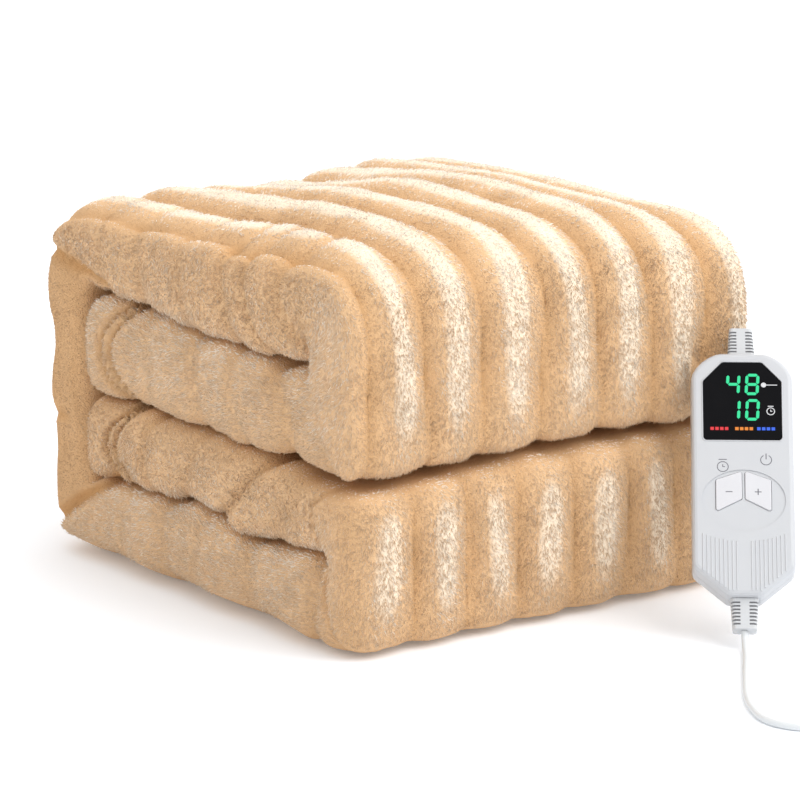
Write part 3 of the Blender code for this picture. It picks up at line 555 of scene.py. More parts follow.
def left_end(y, z):
    """How far the left end is drawn in here, beside the flaps and at the back, and how much painted shade
    its grooves and recess get.
    """
    heights, edge, distinct = zip(*FLAP)
    beside = y - float(np.interp(z, heights, edge))
    flap = float(np.interp(z, heights, distinct))
    groove = flap * exp(-((beside / FLAP_WIDTH) ** 2))
    dent = FLAP_GROOVE * groove
    step = flap * FLAP_STEP * ease(beside / FLAP_STEP_SOON + 0.5)
    dent += step * exp(-((max(beside, 0.0) / FLAP_STEP_REACH) ** 2))
    for (y0, z0), (y1, z1), way in BACK_CORNERS:
        long = hypot(y1 - y0, z1 - z0)
        along_it = ((y - y0) * (y1 - y0) + (z - z0) * (z1 - z0)) / long
        off = ((z - z0) * (y1 - y0) - (y - y0) * (z1 - z0)) / long * -way
        near = ease((long - along_it) / BACK_CORNER_FADE + 0.5)
        here = near * exp(-((off / BACK_CORNER_WIDTH) ** 2))
        dent += here * BACK_GROOVE
        groove += here
    foot_y, foot_z, fall = RECESS_FOOT
    above_foot = ease((z - foot_z + (y - foot_y) * fall) / BACK_CORNER_FADE + 0.5)
    top_y, top_z, rise = RECESS_TOP
    below_top = ease((top_z + (y - top_y) * rise - z) / BACK_CORNER_FADE + 0.5)
    recessed = above_foot * below_top * ease((y - RECESS_FROM) / RECESS_FULL)
    return dent + BACK_RECESS * recessed, min(groove + BACK_RECESS_SHADE * recessed, 1.0)


def settle(point):
    """Where a point of the evenly folded blanket ends up in the uneven real one, and how much painted
    shade its grooves and creases get.
    """
    x, y, z = point
    height = z / (TOP_Z + FULL_TOP * HALF_STRIP)
    crown = CROWN * (1 - (x / CROWN_HALF_LENGTH) ** 2) * (1 - ((y - CROWN_Y) / CROWN_HALF_DEPTH) ** 2)
    right_sag = -RIGHT_SAG * ease((x - RIGHT_SAG_FROM) / RIGHT_SAG_FULL)
    back_sag = -BACK_SAG * exp(-(((x - BACK_SAG_X) / BACK_SAG_WIDTH) ** 2))
    back_sag *= ease((y + BACK_SAG_FROM) / BACK_SAG_FULL)
    left_sag = -LEFT_SAG * ease((LEFT_SAG_FROM - x) / LEFT_SAG_FULL)
    left_sag *= ease((y + LEFT_SAG_Y) / LEFT_SAG_FADE)
    z += height**2 * (crown + right_sag + back_sag + left_sag)
    z += slipped(y, z) * ease((SLIP_FROM_X - x) / (SLIP_FROM_X - SLIP_FULL_X))
    at_left = ease((LEFT_FOLD_X + AT_LEFT - x) / AT_LEFT_FADE)
    forward = float(np.interp(z, *zip(*SLIT_ENDS_FORWARD)))
    forward *= exp(-(((y - SLIT_ENDS_Y) / SLIT_ENDS_WIDTH) ** 2))
    y -= forward * ease((LEFT_FOLD_X + SLIT_ENDS_REACH - x) / SLIT_ENDS_REACH)
    dent, groove = left_end(y, z)
    x += dent * at_left
    x += TUCK * ease((TUCK_Z - z) / TUCK_Z) ** 2 * at_left * ease((y + TUCK_FROM) / TUCK_FULL)
    crease_z, crease_deep, crease_width = SPINE_CREASE
    spine = exp(-(((z - crease_z) / crease_width) ** 2)) * ease((y - SPINE_FROM) / SPINE_FADE)
    spine *= ease((SPINE_LEFT_OF - x) / SPINE_LEFT_FADE)
    return Vector((x, y - crease_deep * spine, max(z, 0.0))), max(groove * at_left, spine)


def folded(station, strip, face, gone, left):
    """The place of one point of the cloth, on its outer (1) or inner (-1) face, and its painted highlight
    on rib crowns less the painted shade of rib valleys, grooves and creases.

    Gone and left are the ways along the strip from its start and to its end.
    """
    x, height, facing_x, facing_h, pucker, thick = station
    y, z, facing, full, corner = strip
    from_end = min(gone, left)
    rounding = max(LEAST_ROUNDING, (1 - (1 - min(from_end / (CLOTH / 2), 1.0)) ** 2) ** 0.5)
    reach = face * (CLOTH / 2 - PILE) * thick * rounding
    lift = rib = groove = 0.0
    if face > 0:
        shown = rib_amount(facing)
        lumps = sum(
            high * noise.noise(Vector((x * often, gone * often, height * LUMPS_THROUGH)))
            for high, often in LUMPS
        )
        drift = PUCKER_DRIFT * sin(gone * PUCKER_DRIFT_RATE)
        reach += lumps + PUCKER * pucker * sin(2 * pi * gone / PUCKER_PITCH + drift)
        bent = from_end - END_SEAM_BOW * height**2
        for place, deep in END_SEAMS:
            seam = exp(-(((bent - place) / END_SEAM_WIDTH) ** 2)) * ease((END_SEAM_X - x) / END_SEAM_FADE)
            reach -= deep * seam
            groove += seam
        above = (height + reach * facing_h) * full * (1 if cos(facing) > 0 else -1)
        if height > 0 and (pucker or facing_h == 1):
            gather = creased(x, y, z, above)
            reach -= gather
            groove += CREASE_SHADE * gather
            uneven = 1 + RIB_UNEVEN * noise.noise(Vector((x * 22, gone * 14, 3.0)))
            rib = (ridge(x, gone) - RIB_SHOULDER) * shown * max(facing_h, 0.0)
            groove += TUCKED_SHADE * (1 - shown) * max(facing_h, 0.0)
            lift = (ridge(x, gone) - 0.5) * RIB_HEIGHT * shown * uneven * max(facing_h, 0.0)
        elif pucker:
            gather = creased(x, y, z, above)
            reach -= gather
            groove += CREASE_SHADE * gather
    x += reach * facing_x
    out = (height + reach * facing_h) * full
    out = (out * corner if out > 0 else out) + lift
    place, other_groove = settle((x, y + out * sin(facing), z + out * cos(facing)))
    return place, rib - min(groove + other_groove, 1.0)


def taken_from(holder):
    """The finished mesh of an object, which then goes."""
    bpy.context.view_layer.update()
    mesh = bpy.data.meshes.new_from_object(holder.evaluated_get(bpy.context.evaluated_depsgraph_get()))
    bpy.data.objects.remove(holder)
    return mesh


across, along = across_strip(), along_strip()
columns, rows = len(across) - 1, len(along) - 1
gone = [0.0]
for before, after in zip(along, along[1:]):
    gone.append(gone[-1] + hypot(after[0] - before[0], after[1] - before[1]))
bpy.ops.mesh.primitive_grid_add(x_subdivisions=columns, y_subdivisions=rows, size=1.0, calc_uvs=True)
flat = bpy.context.object
flat.data.uv_layers[0].name = "OFBake"
thicken = flat.modifiers.new("cloth", "SOLIDIFY")
thicken.thickness = 1.0
thicken.offset = 0.0
cloth = taken_from(flat)
cloth.name = "plush_cloth"
places = np.zeros((2, columns + 1, rows + 1, 3))
ridges = np.zeros((2, columns + 1, rows + 1))
# The ridge attribute holds painted highlight on rib crowns, less painted shade in rib valleys, grooves
# and creases.
ridge_seen = cloth.attributes.new("ridge", "FLOAT", "POINT")
for vertex in cloth.vertices:
    i = round((vertex.co.x + 0.5) * columns)
    j = round((vertex.co.y + 0.5) * rows)
    face = 1 if vertex.co.z > 0 else -1
    vertex.co, rib = folded(across[i], along[j], face, gone[j], gone[-1] - gone[j])
    places[(face + 1) // 2, i, j] = vertex.co
    ridges[(face + 1) // 2, i, j] = rib
    ridge_seen.data[vertex.index].value = rib
cloth.shade_smooth()

PAINTED_HIGHLIGHT_ROOT = (0.93, 0.76, 0.57)  # painted highlight: the colour down in the pile where most light falls
PAINTED_CREASE_SHADE = (0.51, 0.26, 0.09)  # painted shade: the colour down in the creases, grooves and rib valleys
PAINTED_CREASE_SHADE_MOST = 0.85
PAINTED_HIGHLIGHT_FULL = 0.13  # the painted highlight amount at which the pile is at its lightest
TIP_FROM = 0.9  # the height up a lock from which it has the colour of its tip; below it the lock darkens to its root, partly its own colour and partly painted shade deep in the pile
PATCHES, LOCK_TO_LOCK = 0.06, 0.08  # how much lighter or darker
PLUSH_MIDDLE = 0.45  # the cloth under the fur has the colour of the middle of its locks


def plush(name, root, tip, crown, bump):
    """Plush: darker down in the pile than at its tips, partly its own colour and partly painted shade,
    with painted highlight on lit crowns, painted shade in creases, and mottled.
    """
    material, shader, node, blend = new_look(name, 0.95)
    tree = material.node_tree
    place = node("ShaderNodeTexCoord").outputs["Object"]
    up = node("ShaderNodeAttribute", attribute_name="tip").outputs["Fac"]
    on_rib = node("ShaderNodeAttribute", attribute_name="ridge").outputs["Fac"]
    mottle = {"Vector": place, "Scale": 38.0, "Detail": 3.0, "Roughness": 0.6}
    patches = node("ShaderNodeTexNoise", mottle)
    lock = node("ShaderNodeAttribute", attribute_name="lock").outputs["Fac"]

    def ranged(value, low, high, to_low, to_high):
        inputs = {"Value": value, "From Min": low, "From Max": high, "To Min": to_low, "To Max": to_high}
        return node("ShaderNodeMapRange", inputs).outputs["Result"]

    # Painted highlight: lit crowns and the top take the lighter colours, by the painted light amount in
    # the ridge attribute.
    lit_amount = ranged(on_rib, 0.0, PAINTED_HIGHLIGHT_FULL, 0.0, 1.0)
    low, high = blend(root, PAINTED_HIGHLIGHT_ROOT, lit_amount), blend(tip, crown, lit_amount)
    grown = blend(low, high, ranged(up, 0.0, TIP_FROM, 0.0, 1.0))
    # Painted shade: creases, grooves, recesses and rib valleys turn towards the dark brown.
    hair = blend(grown, PAINTED_CREASE_SHADE, ranged(on_rib, -1.0, 0.0, PAINTED_CREASE_SHADE_MOST, 0.0))
    patch = ranged(patches.outputs["Fac"], 0.3, 0.7, -PATCHES, PATCHES)
    single = ranged(lock, 0.0, 1.0, 1 - LOCK_TO_LOCK, 1 + LOCK_TO_LOCK)
    shade = node("ShaderNodeMath", {0: patch, 1: single}, operation="ADD")
    tinted = node("ShaderNodeVectorMath", {0: hair}, operation="SCALE")
    tree.links.new(shade.outputs["Value"], tinted.inputs["Scale"])
    tree.links.new(tinted.outputs["Vector"], shader.inputs["Base Color"])
    if bump:
        curls = {"Vector": place, "Scale": 520.0, "Detail": 3.0, "Distortion": 1.5}
        fine = node("ShaderNodeTexNoise", curls).outputs["Fac"]
        relief = node("ShaderNodeBump", {"Height": fine, "Strength": bump, "Distance": 0.0012})
        tree.links.new(relief.outputs["Normal"], shader.inputs["Normal"])
    return material


# The third colour is the painted highlight of lit crowns and the top.
PLUSH = plush("plush cloth", (0.66, 0.4, 0.2), (0.82, 0.56, 0.33), (0.92, 0.77, 0.6), 0.9)
for name in ("tip", "lock"):
    even = cloth.attributes.new(name, "FLOAT", "POINT")
    even.data.foreach_set("value", np.full(len(cloth.vertices), PLUSH_MIDDLE))
blanket = added("plush_cloth", cloth, PLUSH)
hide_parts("blanket")

# ---------------- pile
# The plush's short fur, combed down the front and off the top and ruffled by use.  It is shown
# by its locks: slim three-sided spikes that stand on all of the cloth that can be seen.

LOCK_LENGTH = 0.0037
LOCK_WIDTH = 0.00092
LOCK_TILT = radians(56)
LOCKS = {"top": 52000, "front": 66000, "left": 64000, "right": 30000, "back": 30000}
LENGTHS, WIDTHS = (0.75, 1.2), (0.8, 1.25)  # the shortest and longest share of those sizes
SHORTER_DEEP = 0.75  # how much shorter down in a crease
TURN_SPREAD, TILT_SPREAD, RUFFLED = 0.42, 0.16, 0.35
SWIRLS = (0.8, 34, 0.6, 95)  # two sizes of swirl: how strong, and how many to a metre
OPEN_REACH = 0.05  # how far a look out from the cloth has to be free for it to count as seen
OPEN_START = 0.0015
OPEN_AHEAD = 0.3
OPEN_LEAST, OPEN_FULL = 0.08, 0.25  # the open share from which locks grow, and with which all do
SUNK = 0.0007
FLATTER_ON_TOP = 0.2
HIGHLIGHT_SPREAD = 0.07
FRONT_HIGHLIGHT = 0.12  # how much of the painted highlight on the ribs there is where they face forward
# Painted highlight all over the top, how far the ribs' contrast is evened out there, and the swirl's
# random tone.
TOP_HIGHLIGHT, TOP_EVEN, SWIRL_TONE = 0.42, 0.5, 0.05
UNDER_Z = 0.012
FLOOR_GAP = 0.0003
chance = np.random.default_rng(7)
steps = (-1, 0, 1)
LOOKS = np.array([(x, y, z) for x in steps for y in steps for z in steps if x or y or z], float)
LOOKS /= np.linalg.norm(LOOKS, axis=1)[:, None]


def unit(vectors):
    return vectors / np.maximum(np.linalg.norm(vectors, axis=-1), 1e-9)[..., None]


first, right = places[:, :-1, :-1], places[:, 1:, :-1]
left, last = places[:, :-1, 1:], places[:, 1:, 1:]
crossed = np.cross(last - first, left - right)
crossed[1] *= -1
crossed, area = crossed.reshape(-1, 3), np.linalg.norm(crossed, axis=-1).reshape(-1) / 2
facing = unit(crossed)
middle = ((first + right + left + last) / 4).reshape(-1, 3)
combed = -unit((left - first + last - right).reshape(-1, 3))
corners = np.stack([c.reshape(-1, 3) for c in (first, right, left, last)])
ribs = ((ridges[:, :-1, :-1] + ridges[:, 1:, 1:]) / 2).reshape(-1)
hidden_by = BVHTree.FromObject(blanket, bpy.context.evaluated_depsgraph_get())


def open_share(place, normal):
    """How much of what a small piece of the cloth faces is free of other cloth."""
    ahead = LOOKS[LOOKS @ normal > OPEN_AHEAD]
    start = Vector(place + OPEN_START * normal)
    free = sum(hidden_by.ray_cast(start, Vector(d), OPEN_REACH)[0] is None for d in ahead)
    return free / max(len(ahead), 1)


def swirled(place):
    """How far the fur is turned here, by use."""
    wide, wide_rate, small, small_rate = SWIRLS
    turn = wide * noise.noise(Vector(place) * wide_rate)
    return turn + small * noise.noise(Vector(place) * small_rate + Vector((5, 5, 5)))


is_open = np.array([open_share(p, n) for p, n in zip(middle, facing)])
weight = area * np.clip((is_open - OPEN_LEAST) / OPEN_FULL, 0.0, 1.0)
weight[(middle[:, 2] < UNDER_Z) & (facing[:, 2] < -0.5)] = 0.0
swirl = np.array([swirled(p) for p in middle])
# Painted highlight: the fur is lighter on the ribs' crowns where they face up, a little where they face
# front or back, and nearly all over the top; rib valleys and grooves keep their painted shade, and the
# swirl adds a little random tone.
lit_from_above = np.clip(facing[:, 2], 0.0, 1.0) ** 3
lit_share = np.clip(lit_from_above + FRONT_HIGHLIGHT * np.abs(facing[:, 1]), 0.0, 1.0) * (1 - facing[:, 0] ** 2)
painted_light_and_shade = np.where(ribs < 0, ribs, ribs * lit_share) * (1 - TOP_EVEN * lit_from_above)
painted_light_and_shade = painted_light_and_shade + TOP_HIGHLIGHT * lit_from_above + SWIRL_TONE * swirl
level_x, level_y, level_z = (np.abs(facing[:, k]) for k in range(3))
up = (facing[:, 2] > 0.0) & (level_z > level_x) & (level_z > level_y)
across_more = level_x > level_y
SIDES = {
    "top": (up, 0, 1),
    "front": (~up & ~across_more & (facing[:, 1] <= 0), 0, 2),
    "left": (~up & across_more & (facing[:, 0] <= 0), 1, 2),
    "right": (~up & across_more & (facing[:, 0] > 0), 1, 2),
    "back": (~up & ~across_more & (facing[:, 1] > 0), 0, 2),
}
RELIEF_L = 0.02  # the sleeve at each end of the controller
BODY_L = 0.165
BODY_SPACE = (0.0318, 0.0123, 0.0835)  # half the width, thickness and length kept free of fur
controller_centre = CONTROLLER_FOOT + controller_turn @ Vector((0, 0, RELIEF_L + BODY_L / 2))
controller_place = Matrix.Translation(controller_centre) @ controller_turn.to_4x4()
to_controller = np.array(controller_place.inverted())
# The third colour is the painted highlight of lit crowns and the top.
FUR = plush("plush fur", (0.7, 0.44, 0.24), (0.91, 0.7, 0.49), (1.0, 0.94, 0.87), 0.0)


def near_controller(points):
    local = points @ to_controller[:3, :3].T + to_controller[:3, 3]
    return (np.abs(local) < BODY_SPACE).all(axis=1)


def grown_locks(side):
    """The fur of one side of the blanket as one mesh."""
    chosen, u_axis, v_axis = SIDES[side]
    odds = weight * chosen
    cells = chance.choice(len(odds), LOCKS[side], p=odds / odds.sum())
    count = len(cells)
    u, v = chance.random(count)[:, None], chance.random(count)[:, None]
    c = corners[:, cells]
    foot = (c[0] * (1 - u) + c[1] * u) * (1 - v) + (c[2] * (1 - u) + c[3] * u) * v
    normal, comb = facing[cells], combed[cells]
    side_way = np.cross(normal, comb)
    turn = (swirl[cells] + chance.normal(0, TURN_SPREAD, count))[:, None]
    lie = unit(comb * np.cos(turn) + side_way * np.sin(turn))
    tilt = LOCK_TILT + RUFFLED * swirl[cells] / 2 + chance.normal(0, TILT_SPREAD, count)
    tilt = (tilt + FLATTER_ON_TOP * np.clip(normal[:, 2], 0.0, 1.0))[:, None]
    axis = unit(normal * np.cos(tilt) + lie * np.sin(tilt))
    flat_way = unit(np.cross(normal, lie))
    thick_way = np.cross(axis, flat_way)
    length = (LOCK_LENGTH * chance.uniform(*LENGTHS, count))[:, None]
    length *= 1 - SHORTER_DEEP * np.clip(-ribs[cells], 0.0, 1.0)[:, None]
    half = (LOCK_WIDTH / 2 * chance.uniform(*WIDTHS, count))[:, None]
    root = foot - normal * SUNK
    tip = root + axis * length
    keep = ~near_controller(tip) & ~near_controller(foot)
    thirds = (pi / 2, pi * 7 / 6, pi * 11 / 6)
    ring = [root + half * (flat_way * cos(a) + thick_way * sin(a)) for a in thirds]
    points = np.stack([*ring, tip], axis=1)[keep]
    points[..., 2] = np.maximum(points[..., 2], FLOOR_GAP)
    count = len(points)
    starts = np.arange(count)[:, None] * 4
    faces = (starts + np.array([[0, 1, 3, 1, 2, 3, 2, 0, 3]])).reshape(-1)
    mesh = bpy.data.meshes.new(f"fur_{side}")
    mesh.vertices.add(count * 4)
    mesh.vertices.foreach_set("co", points.reshape(-1))
    mesh.loops.add(count * 9)
    mesh.loops.foreach_set("vertex_index", faces)
    mesh.polygons.add(count * 3)
    mesh.polygons.foreach_set("loop_start", np.arange(count * 3) * 3)
    mesh.update(calc_edges=True)
    for name, values in (
        ("tip", np.tile([0.0, 0.0, 0.0, 1.0], count)),
        ("lock", np.repeat(chance.random(count), 4)),
        ("ridge", np.repeat((painted_light_and_shade[cells] + chance.normal(0, HIGHLIGHT_SPREAD, len(cells)))[keep], 4)),
    ):
        mesh.attributes.new(name, "FLOAT", "POINT").data.foreach_set("value", values)
    layer = mesh.uv_layers.new(name="OFBake")
    flat_points = points.reshape(-1, 3)[faces]
    uv = np.stack([flat_points[:, u_axis], flat_points[:, v_axis]], axis=1)
    uv = (uv - uv.min(axis=0)) / (uv.max(axis=0) - uv.min(axis=0))
    layer.data.foreach_set("uv", uv.reshape(-1))
    mesh.shade_smooth()
    return mesh


for side in LOCKS:
    fur = added(f"fur_{side}", grown_locks(side), FUR)

# ---------------- controller housing
# Two shells of white satin ABS, screwed together from behind, with a shallow lens-shaped recess
# for the keys and fine moulded ribs on both sides of the grip, and a slotted sleeve at each end
# that is moulded in softer white plastic.

BODY_W = 0.0635
FACE_Y = -GAP / 2 - 0.0105  # the front face of the housing, in the controller's own frame
GRIP_RIBS = 9
GRIP_FIRST = 0.0046
GRIP_PITCH = 0.0026
GRIP_WIDTH = 0.0012
GRIP_TOP_Z = -0.047
GRIP_TOP_RISE = 0.006 / 0.0275**2  # the tops follow the recess's curve
GRIP_FOOT_INSET = 0.003
GRIP_PROUD = 0.00035
HIP = (0.0215, 0.0186)  # the slant at the body's lower corners: width and height
HOUSING = moulded("white ABS housing", (0.525, 0.535, 0.55), (0.5, 0.51, 0.535), 0.38)
for name in ("housing_rear", "housing_front"):
    coated(nodes[name].data, HOUSING)


def from_strokes(name, strokes, width, height):
    """A mesh of round-backed strokes, drawn in X and Z and standing a little out of Y = 0."""
    drawing = bpy.data.curves.new(name, "CURVE")
    drawing.dimensions = "3D"
    drawing.bevel_depth = width / 2
    drawing.bevel_resolution = 1
    drawing.use_fill_caps = True
    for points, closed in strokes:
        stroke = drawing.splines.new("POLY")
        stroke.points.add(len(points) - 1)
        stroke.use_cyclic_u = closed
        for point, (x, z) in zip(stroke.points, points):
            point.co = (x, 0, z, 1)
    mesh = taken_from(linked(name, drawing))
    mesh.name = name
    mesh.transform(Matrix.Diagonal((1, height / width * 2, 1, 1)))
    mesh.shade_smooth()
    return mesh


def on_face(name, mesh, material, depth=0.0, body=BODY):
    """Fix a mesh to the housing's front, or that much deeper than it."""
    mesh.transform(controller_place @ Matrix.Translation((0, FACE_Y + depth, 0)))
    return added(name, mesh, material, body)


def grip_rib(x):
    """One rib's two ends: its top follows the recess, its foot the slanted hip."""
    top = GRIP_TOP_Z + GRIP_TOP_RISE * x**2
    past_hip = max(0.0, abs(x) - (BODY_W / 2 - HIP[0]))
    foot = -BODY_L / 2 + GRIP_FOOT_INSET + past_hip * HIP[1] / HIP[0]
    return [(x, top), (x, foot)]


ribs_at = [side * (GRIP_FIRST + k * GRIP_PITCH) for side in (-1, 1) for k in range(GRIP_RIBS)]
grip = from_strokes("grip_ribs", [(grip_rib(x), False) for x in ribs_at], GRIP_WIDTH, GRIP_PROUD)
on_face("grip_ribs", grip, HOUSING)



def as_mesh(name, shape):
    mesh = bpy.data.meshes.new(name)
    shape.to_mesh(mesh)
    shape.free()
    return mesh


SLEEVE = moulded("soft white sleeve", (0.56, 0.57, 0.58), (0.53, 0.54, 0.555), 0.5)
# Painted shade: dark blocks set into the sleeves' slots.
SLOT_SHADE = moulded("painted slot shade", (0.16, 0.16, 0.17), (0.13, 0.13, 0.14), 0.6)
RELIEF_W = (0.0172, 0.0146)  # the sleeve's width and thickness, at the body and at its tip
RELIEF_T = (0.012, 0.0096)
SLOT_COUNT = 7
SLOT_PITCH = 0.0023
SLOT_T = 0.0012
SLOT_HALF_RIB = 0.0028
SLOT_INSET = 0.0009
SHADE_BLOCK_PLAY = 0.0001
SHADE_BLOCK_DEPTH = 0.0008  # how far the painted-shade blocks lie below the sleeve's surface
SHADE_BLOCK_T = 0.0008
for name, way in (("strain_relief_upper", 1), ("strain_relief_lower", -1)):
    coated(nodes[name].data, SLEEVE)
    shade_blocks = bmesh.new()
    for k in range(SLOT_COUNT):
        along_sleeve = (RELIEF_L - (SLOT_COUNT - 1) * SLOT_PITCH) / 2 + k * SLOT_PITCH
        narrowed = along_sleeve / RELIEF_L
        half_w = (RELIEF_W[0] + (RELIEF_W[1] - RELIEF_W[0]) * narrowed) / 2 - SLOT_INSET
        half_t = (RELIEF_T[0] + (RELIEF_T[1] - RELIEF_T[0]) * narrowed) / 2
        for side in (-1, 1):
            for front in (-1, 1):
                centre = Vector((side * (SLOT_HALF_RIB + half_w) / 2, front * (half_t - SHADE_BLOCK_DEPTH), 0))
                centre.z = way * (BODY_L / 2 + along_sleeve)
                size = (half_w - SLOT_HALF_RIB - SHADE_BLOCK_PLAY, SHADE_BLOCK_T, SLOT_T - 2 * SHADE_BLOCK_PLAY, 1.0)
                bmesh.ops.create_cube(shade_blocks, matrix=Matrix.Translation(centre) @ Matrix.Diagonal(size))
    shade_block = as_mesh(f"slot_shade_blocks_{name[-5:]}", shade_blocks)
    shade_block.transform(controller_place)
    added(shade_block.name, shade_block, SLOT_SHADE)

# ---------------- display
# A black acrylic window in a thin white bead.  Behind it light up two rows of green digits,
# a row of red, amber and blue marks, and a white thermometer and timer.

WINDOW_CORNERS = (
    (0.0124, 0.0755),
    (0.0245, 0.0623),
    (0.0245, 0.0219),
    (-0.0245, 0.0219),
    (-0.0245, 0.0623),
    (-0.0124, 0.0755),
)
WINDOW_CORNER = 0.0026
BEAD_WIDTH = 0.0009
BEAD_OUT = 0.00075  # from the window's corners to the bead's
BEAD_PROUD = 0.0004
WINDOW_MIDDLE = Vector((0, 0.048))
LIT_PROUD = 0.00012  # how far the lit digits and marks stand out
WINDOW = moulded("black acrylic", (0.006, 0.006, 0.007), (0.004, 0.004, 0.005), 0.1, 200.0, 0.0)
WINDOW.node_tree.nodes["Principled BSDF"].inputs["Specular IOR Level"].default_value = 0.05
coated(nodes["window"].data, WINDOW)


def rounded_outline(corners, radius, steps=4):
    """An outline with each of its corners turned into an arc."""
    made = []
    for i, corner in enumerate(corners):
        here = Vector(corner)
        before = (Vector(corners[i - 1]) - here).normalized()
        after = (Vector(corners[(i + 1) % len(corners)]) - here).normalized()
        half = before.angle(after) / 2
        centre = here + (before + after).normalized() * radius / sin(half)
        first_way = (here + before * radius * cos(half) / sin(half) - centre) / radius
        last_way = (here + after * radius * cos(half) / sin(half) - centre) / radius
        for k in range(steps + 1):
            way = first_way.lerp(last_way, k / steps).normalized()
            made.append(tuple(centre + way * radius))
    return made


outward = [Vector(c) + (Vector(c) - WINDOW_MIDDLE).normalized() * BEAD_OUT for c in WINDOW_CORNERS]
bead_line = [(rounded_outline(outward, WINDOW_CORNER), True)]
bead = from_strokes("window_bead", bead_line, BEAD_WIDTH, BEAD_PROUD)
on_face("window_bead", bead, HOUSING)


def lit(name, colour, strength):
    """A lit mark: it glows evenly, and its surface is a smooth diffuser."""
    material, shader, node, blend = new_look(name, 0.4, Emission_Strength=strength)
    place = node("ShaderNodeTexCoord").outputs["Object"]
    grain = node("ShaderNodeTexNoise", {"Vector": place, "Scale": 700.0})
    glow = blend([0.9 * c for c in colour], colour, grain.outputs["Fac"])
    material.node_tree.links.new(glow, shader.inputs["Emission Color"])
    shader.inputs["Base Color"].default_value = (*(0.1 * c for c in colour), 1.0)
    return material


DIGIT_W = 0.0088
DIGIT_H = 0.0148
BAR_T = 0.0019
BAR_GAP = 0.00025
DIGIT_LEAN = 0.06
LIT_BARS = {"0": "abcdef", "1": "bc", "4": "bcfg", "8": "abcdefg"}
READING = (("4", -0.0056, 0.0603), ("8", 0.0063, 0.0603), ("1", -0.0056, 0.0427), ("0", 0.0063, 0.0427))
half_w, half_h = (DIGIT_W - BAR_T) / 2, (DIGIT_H - BAR_T) / 2
BAR_ENDS = {
    "a": ((-half_w, half_h), (half_w, half_h)),
    "b": ((half_w, half_h), (half_w, 0)),
    "c": ((half_w, 0), (half_w, -half_h)),
    "d": ((-half_w, -half_h), (half_w, -half_h)),
    "e": ((-half_w, 0), (-half_w, -half_h)),
    "f": ((-half_w, half_h), (-half_w, 0)),
    "g": ((-half_w, 0), (half_w, 0)),
}
digits = bmesh.new()
for figure, x, z in READING:
    for bar in LIT_BARS[figure]:
        start, end = (Vector(p) for p in BAR_ENDS[bar])
        way = (end - start).normalized()
        across_bar = Vector((-way.y, way.x)) * BAR_T / 2
        start, end = start + way * BAR_GAP, end - way * BAR_GAP
        point = way * BAR_T / 2
        hexagon = [start, start + point + across_bar, end - point + across_bar]
        hexagon += [end, end - point - across_bar, start + point - across_bar]
        rim = [digits.verts.new((x + p.x + DIGIT_LEAN * p.y, 0, z + p.y)) for p in hexagon]
        made = bmesh.ops.extrude_face_region(digits, geom=[digits.faces.new(rim)])
        top = [v for v in made["geom"] if isinstance(v, bmesh.types.BMVert)]
        bmesh.ops.translate(digits, verts=top, vec=(0, -LIT_PROUD, 0))
bmesh.ops.recalc_face_normals(digits, faces=digits.faces)
GREEN = lit("green light", (0.013, 0.86, 0.36), 0.85)
on_face("digits", as_mesh("digits", digits), GREEN, depth=-LIT_PROUD)

MARK_SIZE = (0.0022, 0.0002, 0.0021)
MARK_PITCH = 0.003
MARK_Z = 0.0297
MARK_EDGE = 0.00006
MARKS = (
    ("red", (0.75, 0.02, 0.03), -0.0145),
    ("amber", (0.8, 0.23, 0.01), 0.0009),
    ("blue", (0.02, 0.12, 0.8), 0.0146),
)
for colour, light, x in MARKS:
    marks = bmesh.new()
    for k in (-1.5, -0.5, 0.5, 1.5):
        place = Matrix.Translation((x + k * MARK_PITCH, 0, MARK_Z))
        bmesh.ops.create_cube(marks, matrix=place @ Matrix.Diagonal((*MARK_SIZE, 1.0)))
    bevel = {"offset": MARK_EDGE, "segments": 1, "profile": 0.5, "affect": "EDGES", "material": -1}
    bmesh.ops.bevel(marks, geom=marks.edges[:], **bevel)
    mesh = as_mesh(f"marks_{colour}", marks)
    on_face(mesh.name, mesh, lit(f"{colour} light", light, 1.0), depth=-LIT_PROUD)


def ring(x, z, radius, start=0.0, end=360.0, steps=28):
    """Points on a circle round X and Z, or on the part of it between two angles from the top."""
    angles = [radians(start + (end - start) * k / steps) for k in range(steps + (end - start < 360))]
    return [(x + radius * sin(a), z + radius * cos(a)) for a in angles]


def timer(x, z, radius):
    """A stopwatch: a circle with a bar over it and two hands."""
    return [
        (ring(x, z, radius), True),
        ([(x - 0.75 * radius, z + 1.45 * radius), (x + 0.75 * radius, z + 1.45 * radius)], False),
        ([(x, z + 0.45 * radius), (x, z), (x + 0.4 * radius, z)], False),
    ]


def thermometer(x, z, length):
    """A bulb at the left and a stem to the right."""
    bulb = [(ring(x, z, r, steps=16), True) for r in (0.0014, 0.0008, 0.0003)]
    return bulb + [([(x + 0.0014, z), (x + length, z)], False)]


WHITE = lit("white light", (0.85, 0.86, 0.88), 0.9)
ICON_LINE, ICON_PROUD = 0.0006, 0.0001
drawn = timer(0.0177, 0.0418, 0.0024) + thermometer(0.0135, 0.06, 0.0085)
icons = from_strokes("display_icons", drawn, ICON_LINE, ICON_PROUD)
on_face("display_icons", icons, WHITE, depth=-ICON_PROUD)

# ---------------- keys
# Two satin white keys in the recess, with a grey minus and plus printed on them, and a printed
# timer and power sign above.

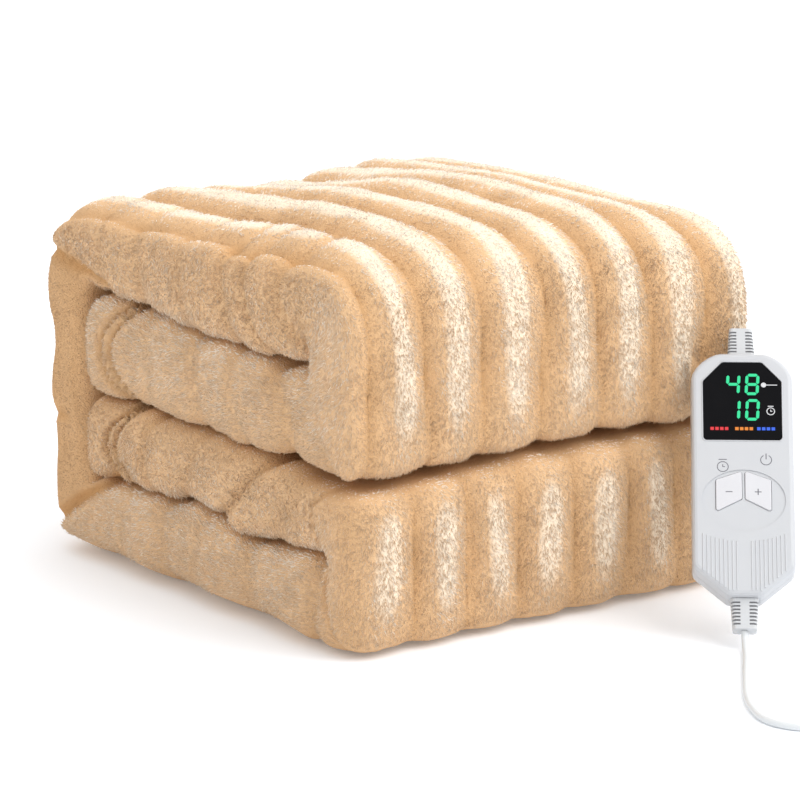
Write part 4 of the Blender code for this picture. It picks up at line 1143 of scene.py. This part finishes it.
KEY_FACE_DEPTH = 0.0006 - 0.0008  # the recess, and how far the keys stand out of it
GREY_INK = moulded("grey ink", (0.16, 0.16, 0.18), (0.14, 0.14, 0.16), 0.5)
KEYS = moulded("white keys", (0.61, 0.61, 0.635), (0.585, 0.585, 0.61), 0.4)
SIGN_Z = -0.0135
SIGN_HALF = 0.0021
SIGN_LINE, PRINT_LINE, PRINT_PROUD = 0.0007, 0.00065, 0.00006
SIGNS = (("key_minus", -0.009, False), ("key_plus", 0.009, True))
for name, x, plus in SIGNS:
    coated(nodes[name].data, KEYS)
    strokes = [([(x - SIGN_HALF, SIGN_Z), (x + SIGN_HALF, SIGN_Z)], False)]
    if plus:
        strokes.append(([(x, SIGN_Z - SIGN_HALF), (x, SIGN_Z + SIGN_HALF)], False))
    sign = from_strokes(f"sign_{name[4:]}", strokes, SIGN_LINE, PRINT_PROUD)
    on_face(sign.name, sign, GREY_INK, depth=KEY_FACE_DEPTH, body=name)
power = [(ring(0.0143, 0.0084, 0.0034, 28, 332), False), ([(0.0143, 0.0088), (0.0143, 0.0128)], False)]
above_keys = timer(-0.0127, 0.0036, 0.0034) + power
printed = from_strokes("printed_signs", above_keys, PRINT_LINE, PRINT_PROUD)
on_face("printed_signs", printed, GREY_INK)

# ---------------- floor and light
# A sweep of white paper that glows a little, so that it stays white in the picture, under a white
# tent that is brighter above and at the right, and one wide soft lamp from the front right.

sweep = bmesh.new()
bmesh.ops.create_grid(sweep, x_segments=1, y_segments=1, size=15.0)
floor_mesh = as_mesh("floor", sweep)
floor = linked("floor", floor_mesh)
PAPER, paper_shader, *_ = new_look("white paper sweep", 0.9, Emission_Strength=0.12)
paper_shader.inputs["Base Color"].default_value = (0.88, 0.91, 0.95, 1.0)
paper_shader.inputs["Emission Color"].default_value = (1.0, 1.0, 0.985, 1.0)
floor_mesh.materials.append(PAPER)

RIGHT_BRIGHTER = 0.16
world = bpy.data.worlds.new("white studio")
world.use_nodes = True
sky = world.node_tree
toward = sky.nodes.new("ShaderNodeTexCoord")
apart = sky.nodes.new("ShaderNodeSeparateXYZ")
sky.links.new(toward.outputs["Generated"], apart.inputs["Vector"])
brighter = sky.nodes.new("ShaderNodeMapRange")
for socket, value in (("From Min", 0.0), ("From Max", 1.0), ("To Min", 0.9), ("To Max", 1.3)):
    brighter.inputs[socket].default_value = value
sky.links.new(apart.outputs["Z"], brighter.inputs["Value"])
sideways = sky.nodes.new("ShaderNodeMath")
sideways.operation = "MULTIPLY_ADD"
sideways.inputs[1].default_value = RIGHT_BRIGHTER
sky.links.new(apart.outputs["X"], sideways.inputs[0])
sky.links.new(brighter.outputs["Result"], sideways.inputs[2])
sky.links.new(sideways.outputs["Value"], sky.nodes["Background"].inputs["Strength"])
sky.nodes["Background"].inputs["Color"].default_value = (1.0, 1.0, 1.0, 1.0)
bpy.context.scene.world = world
sun_data = bpy.data.lights.new("key", "SUN")
sun_data.energy = 1.5
sun_data.angle = radians(50)
sun = linked("key", sun_data)
toward_light = Vector((0.38, -0.52, 0.77))
sun.rotation_euler = toward_light.to_track_quat("Z", "Y").to_euler()
bpy.context.scene.view_settings.view_transform = "Standard"
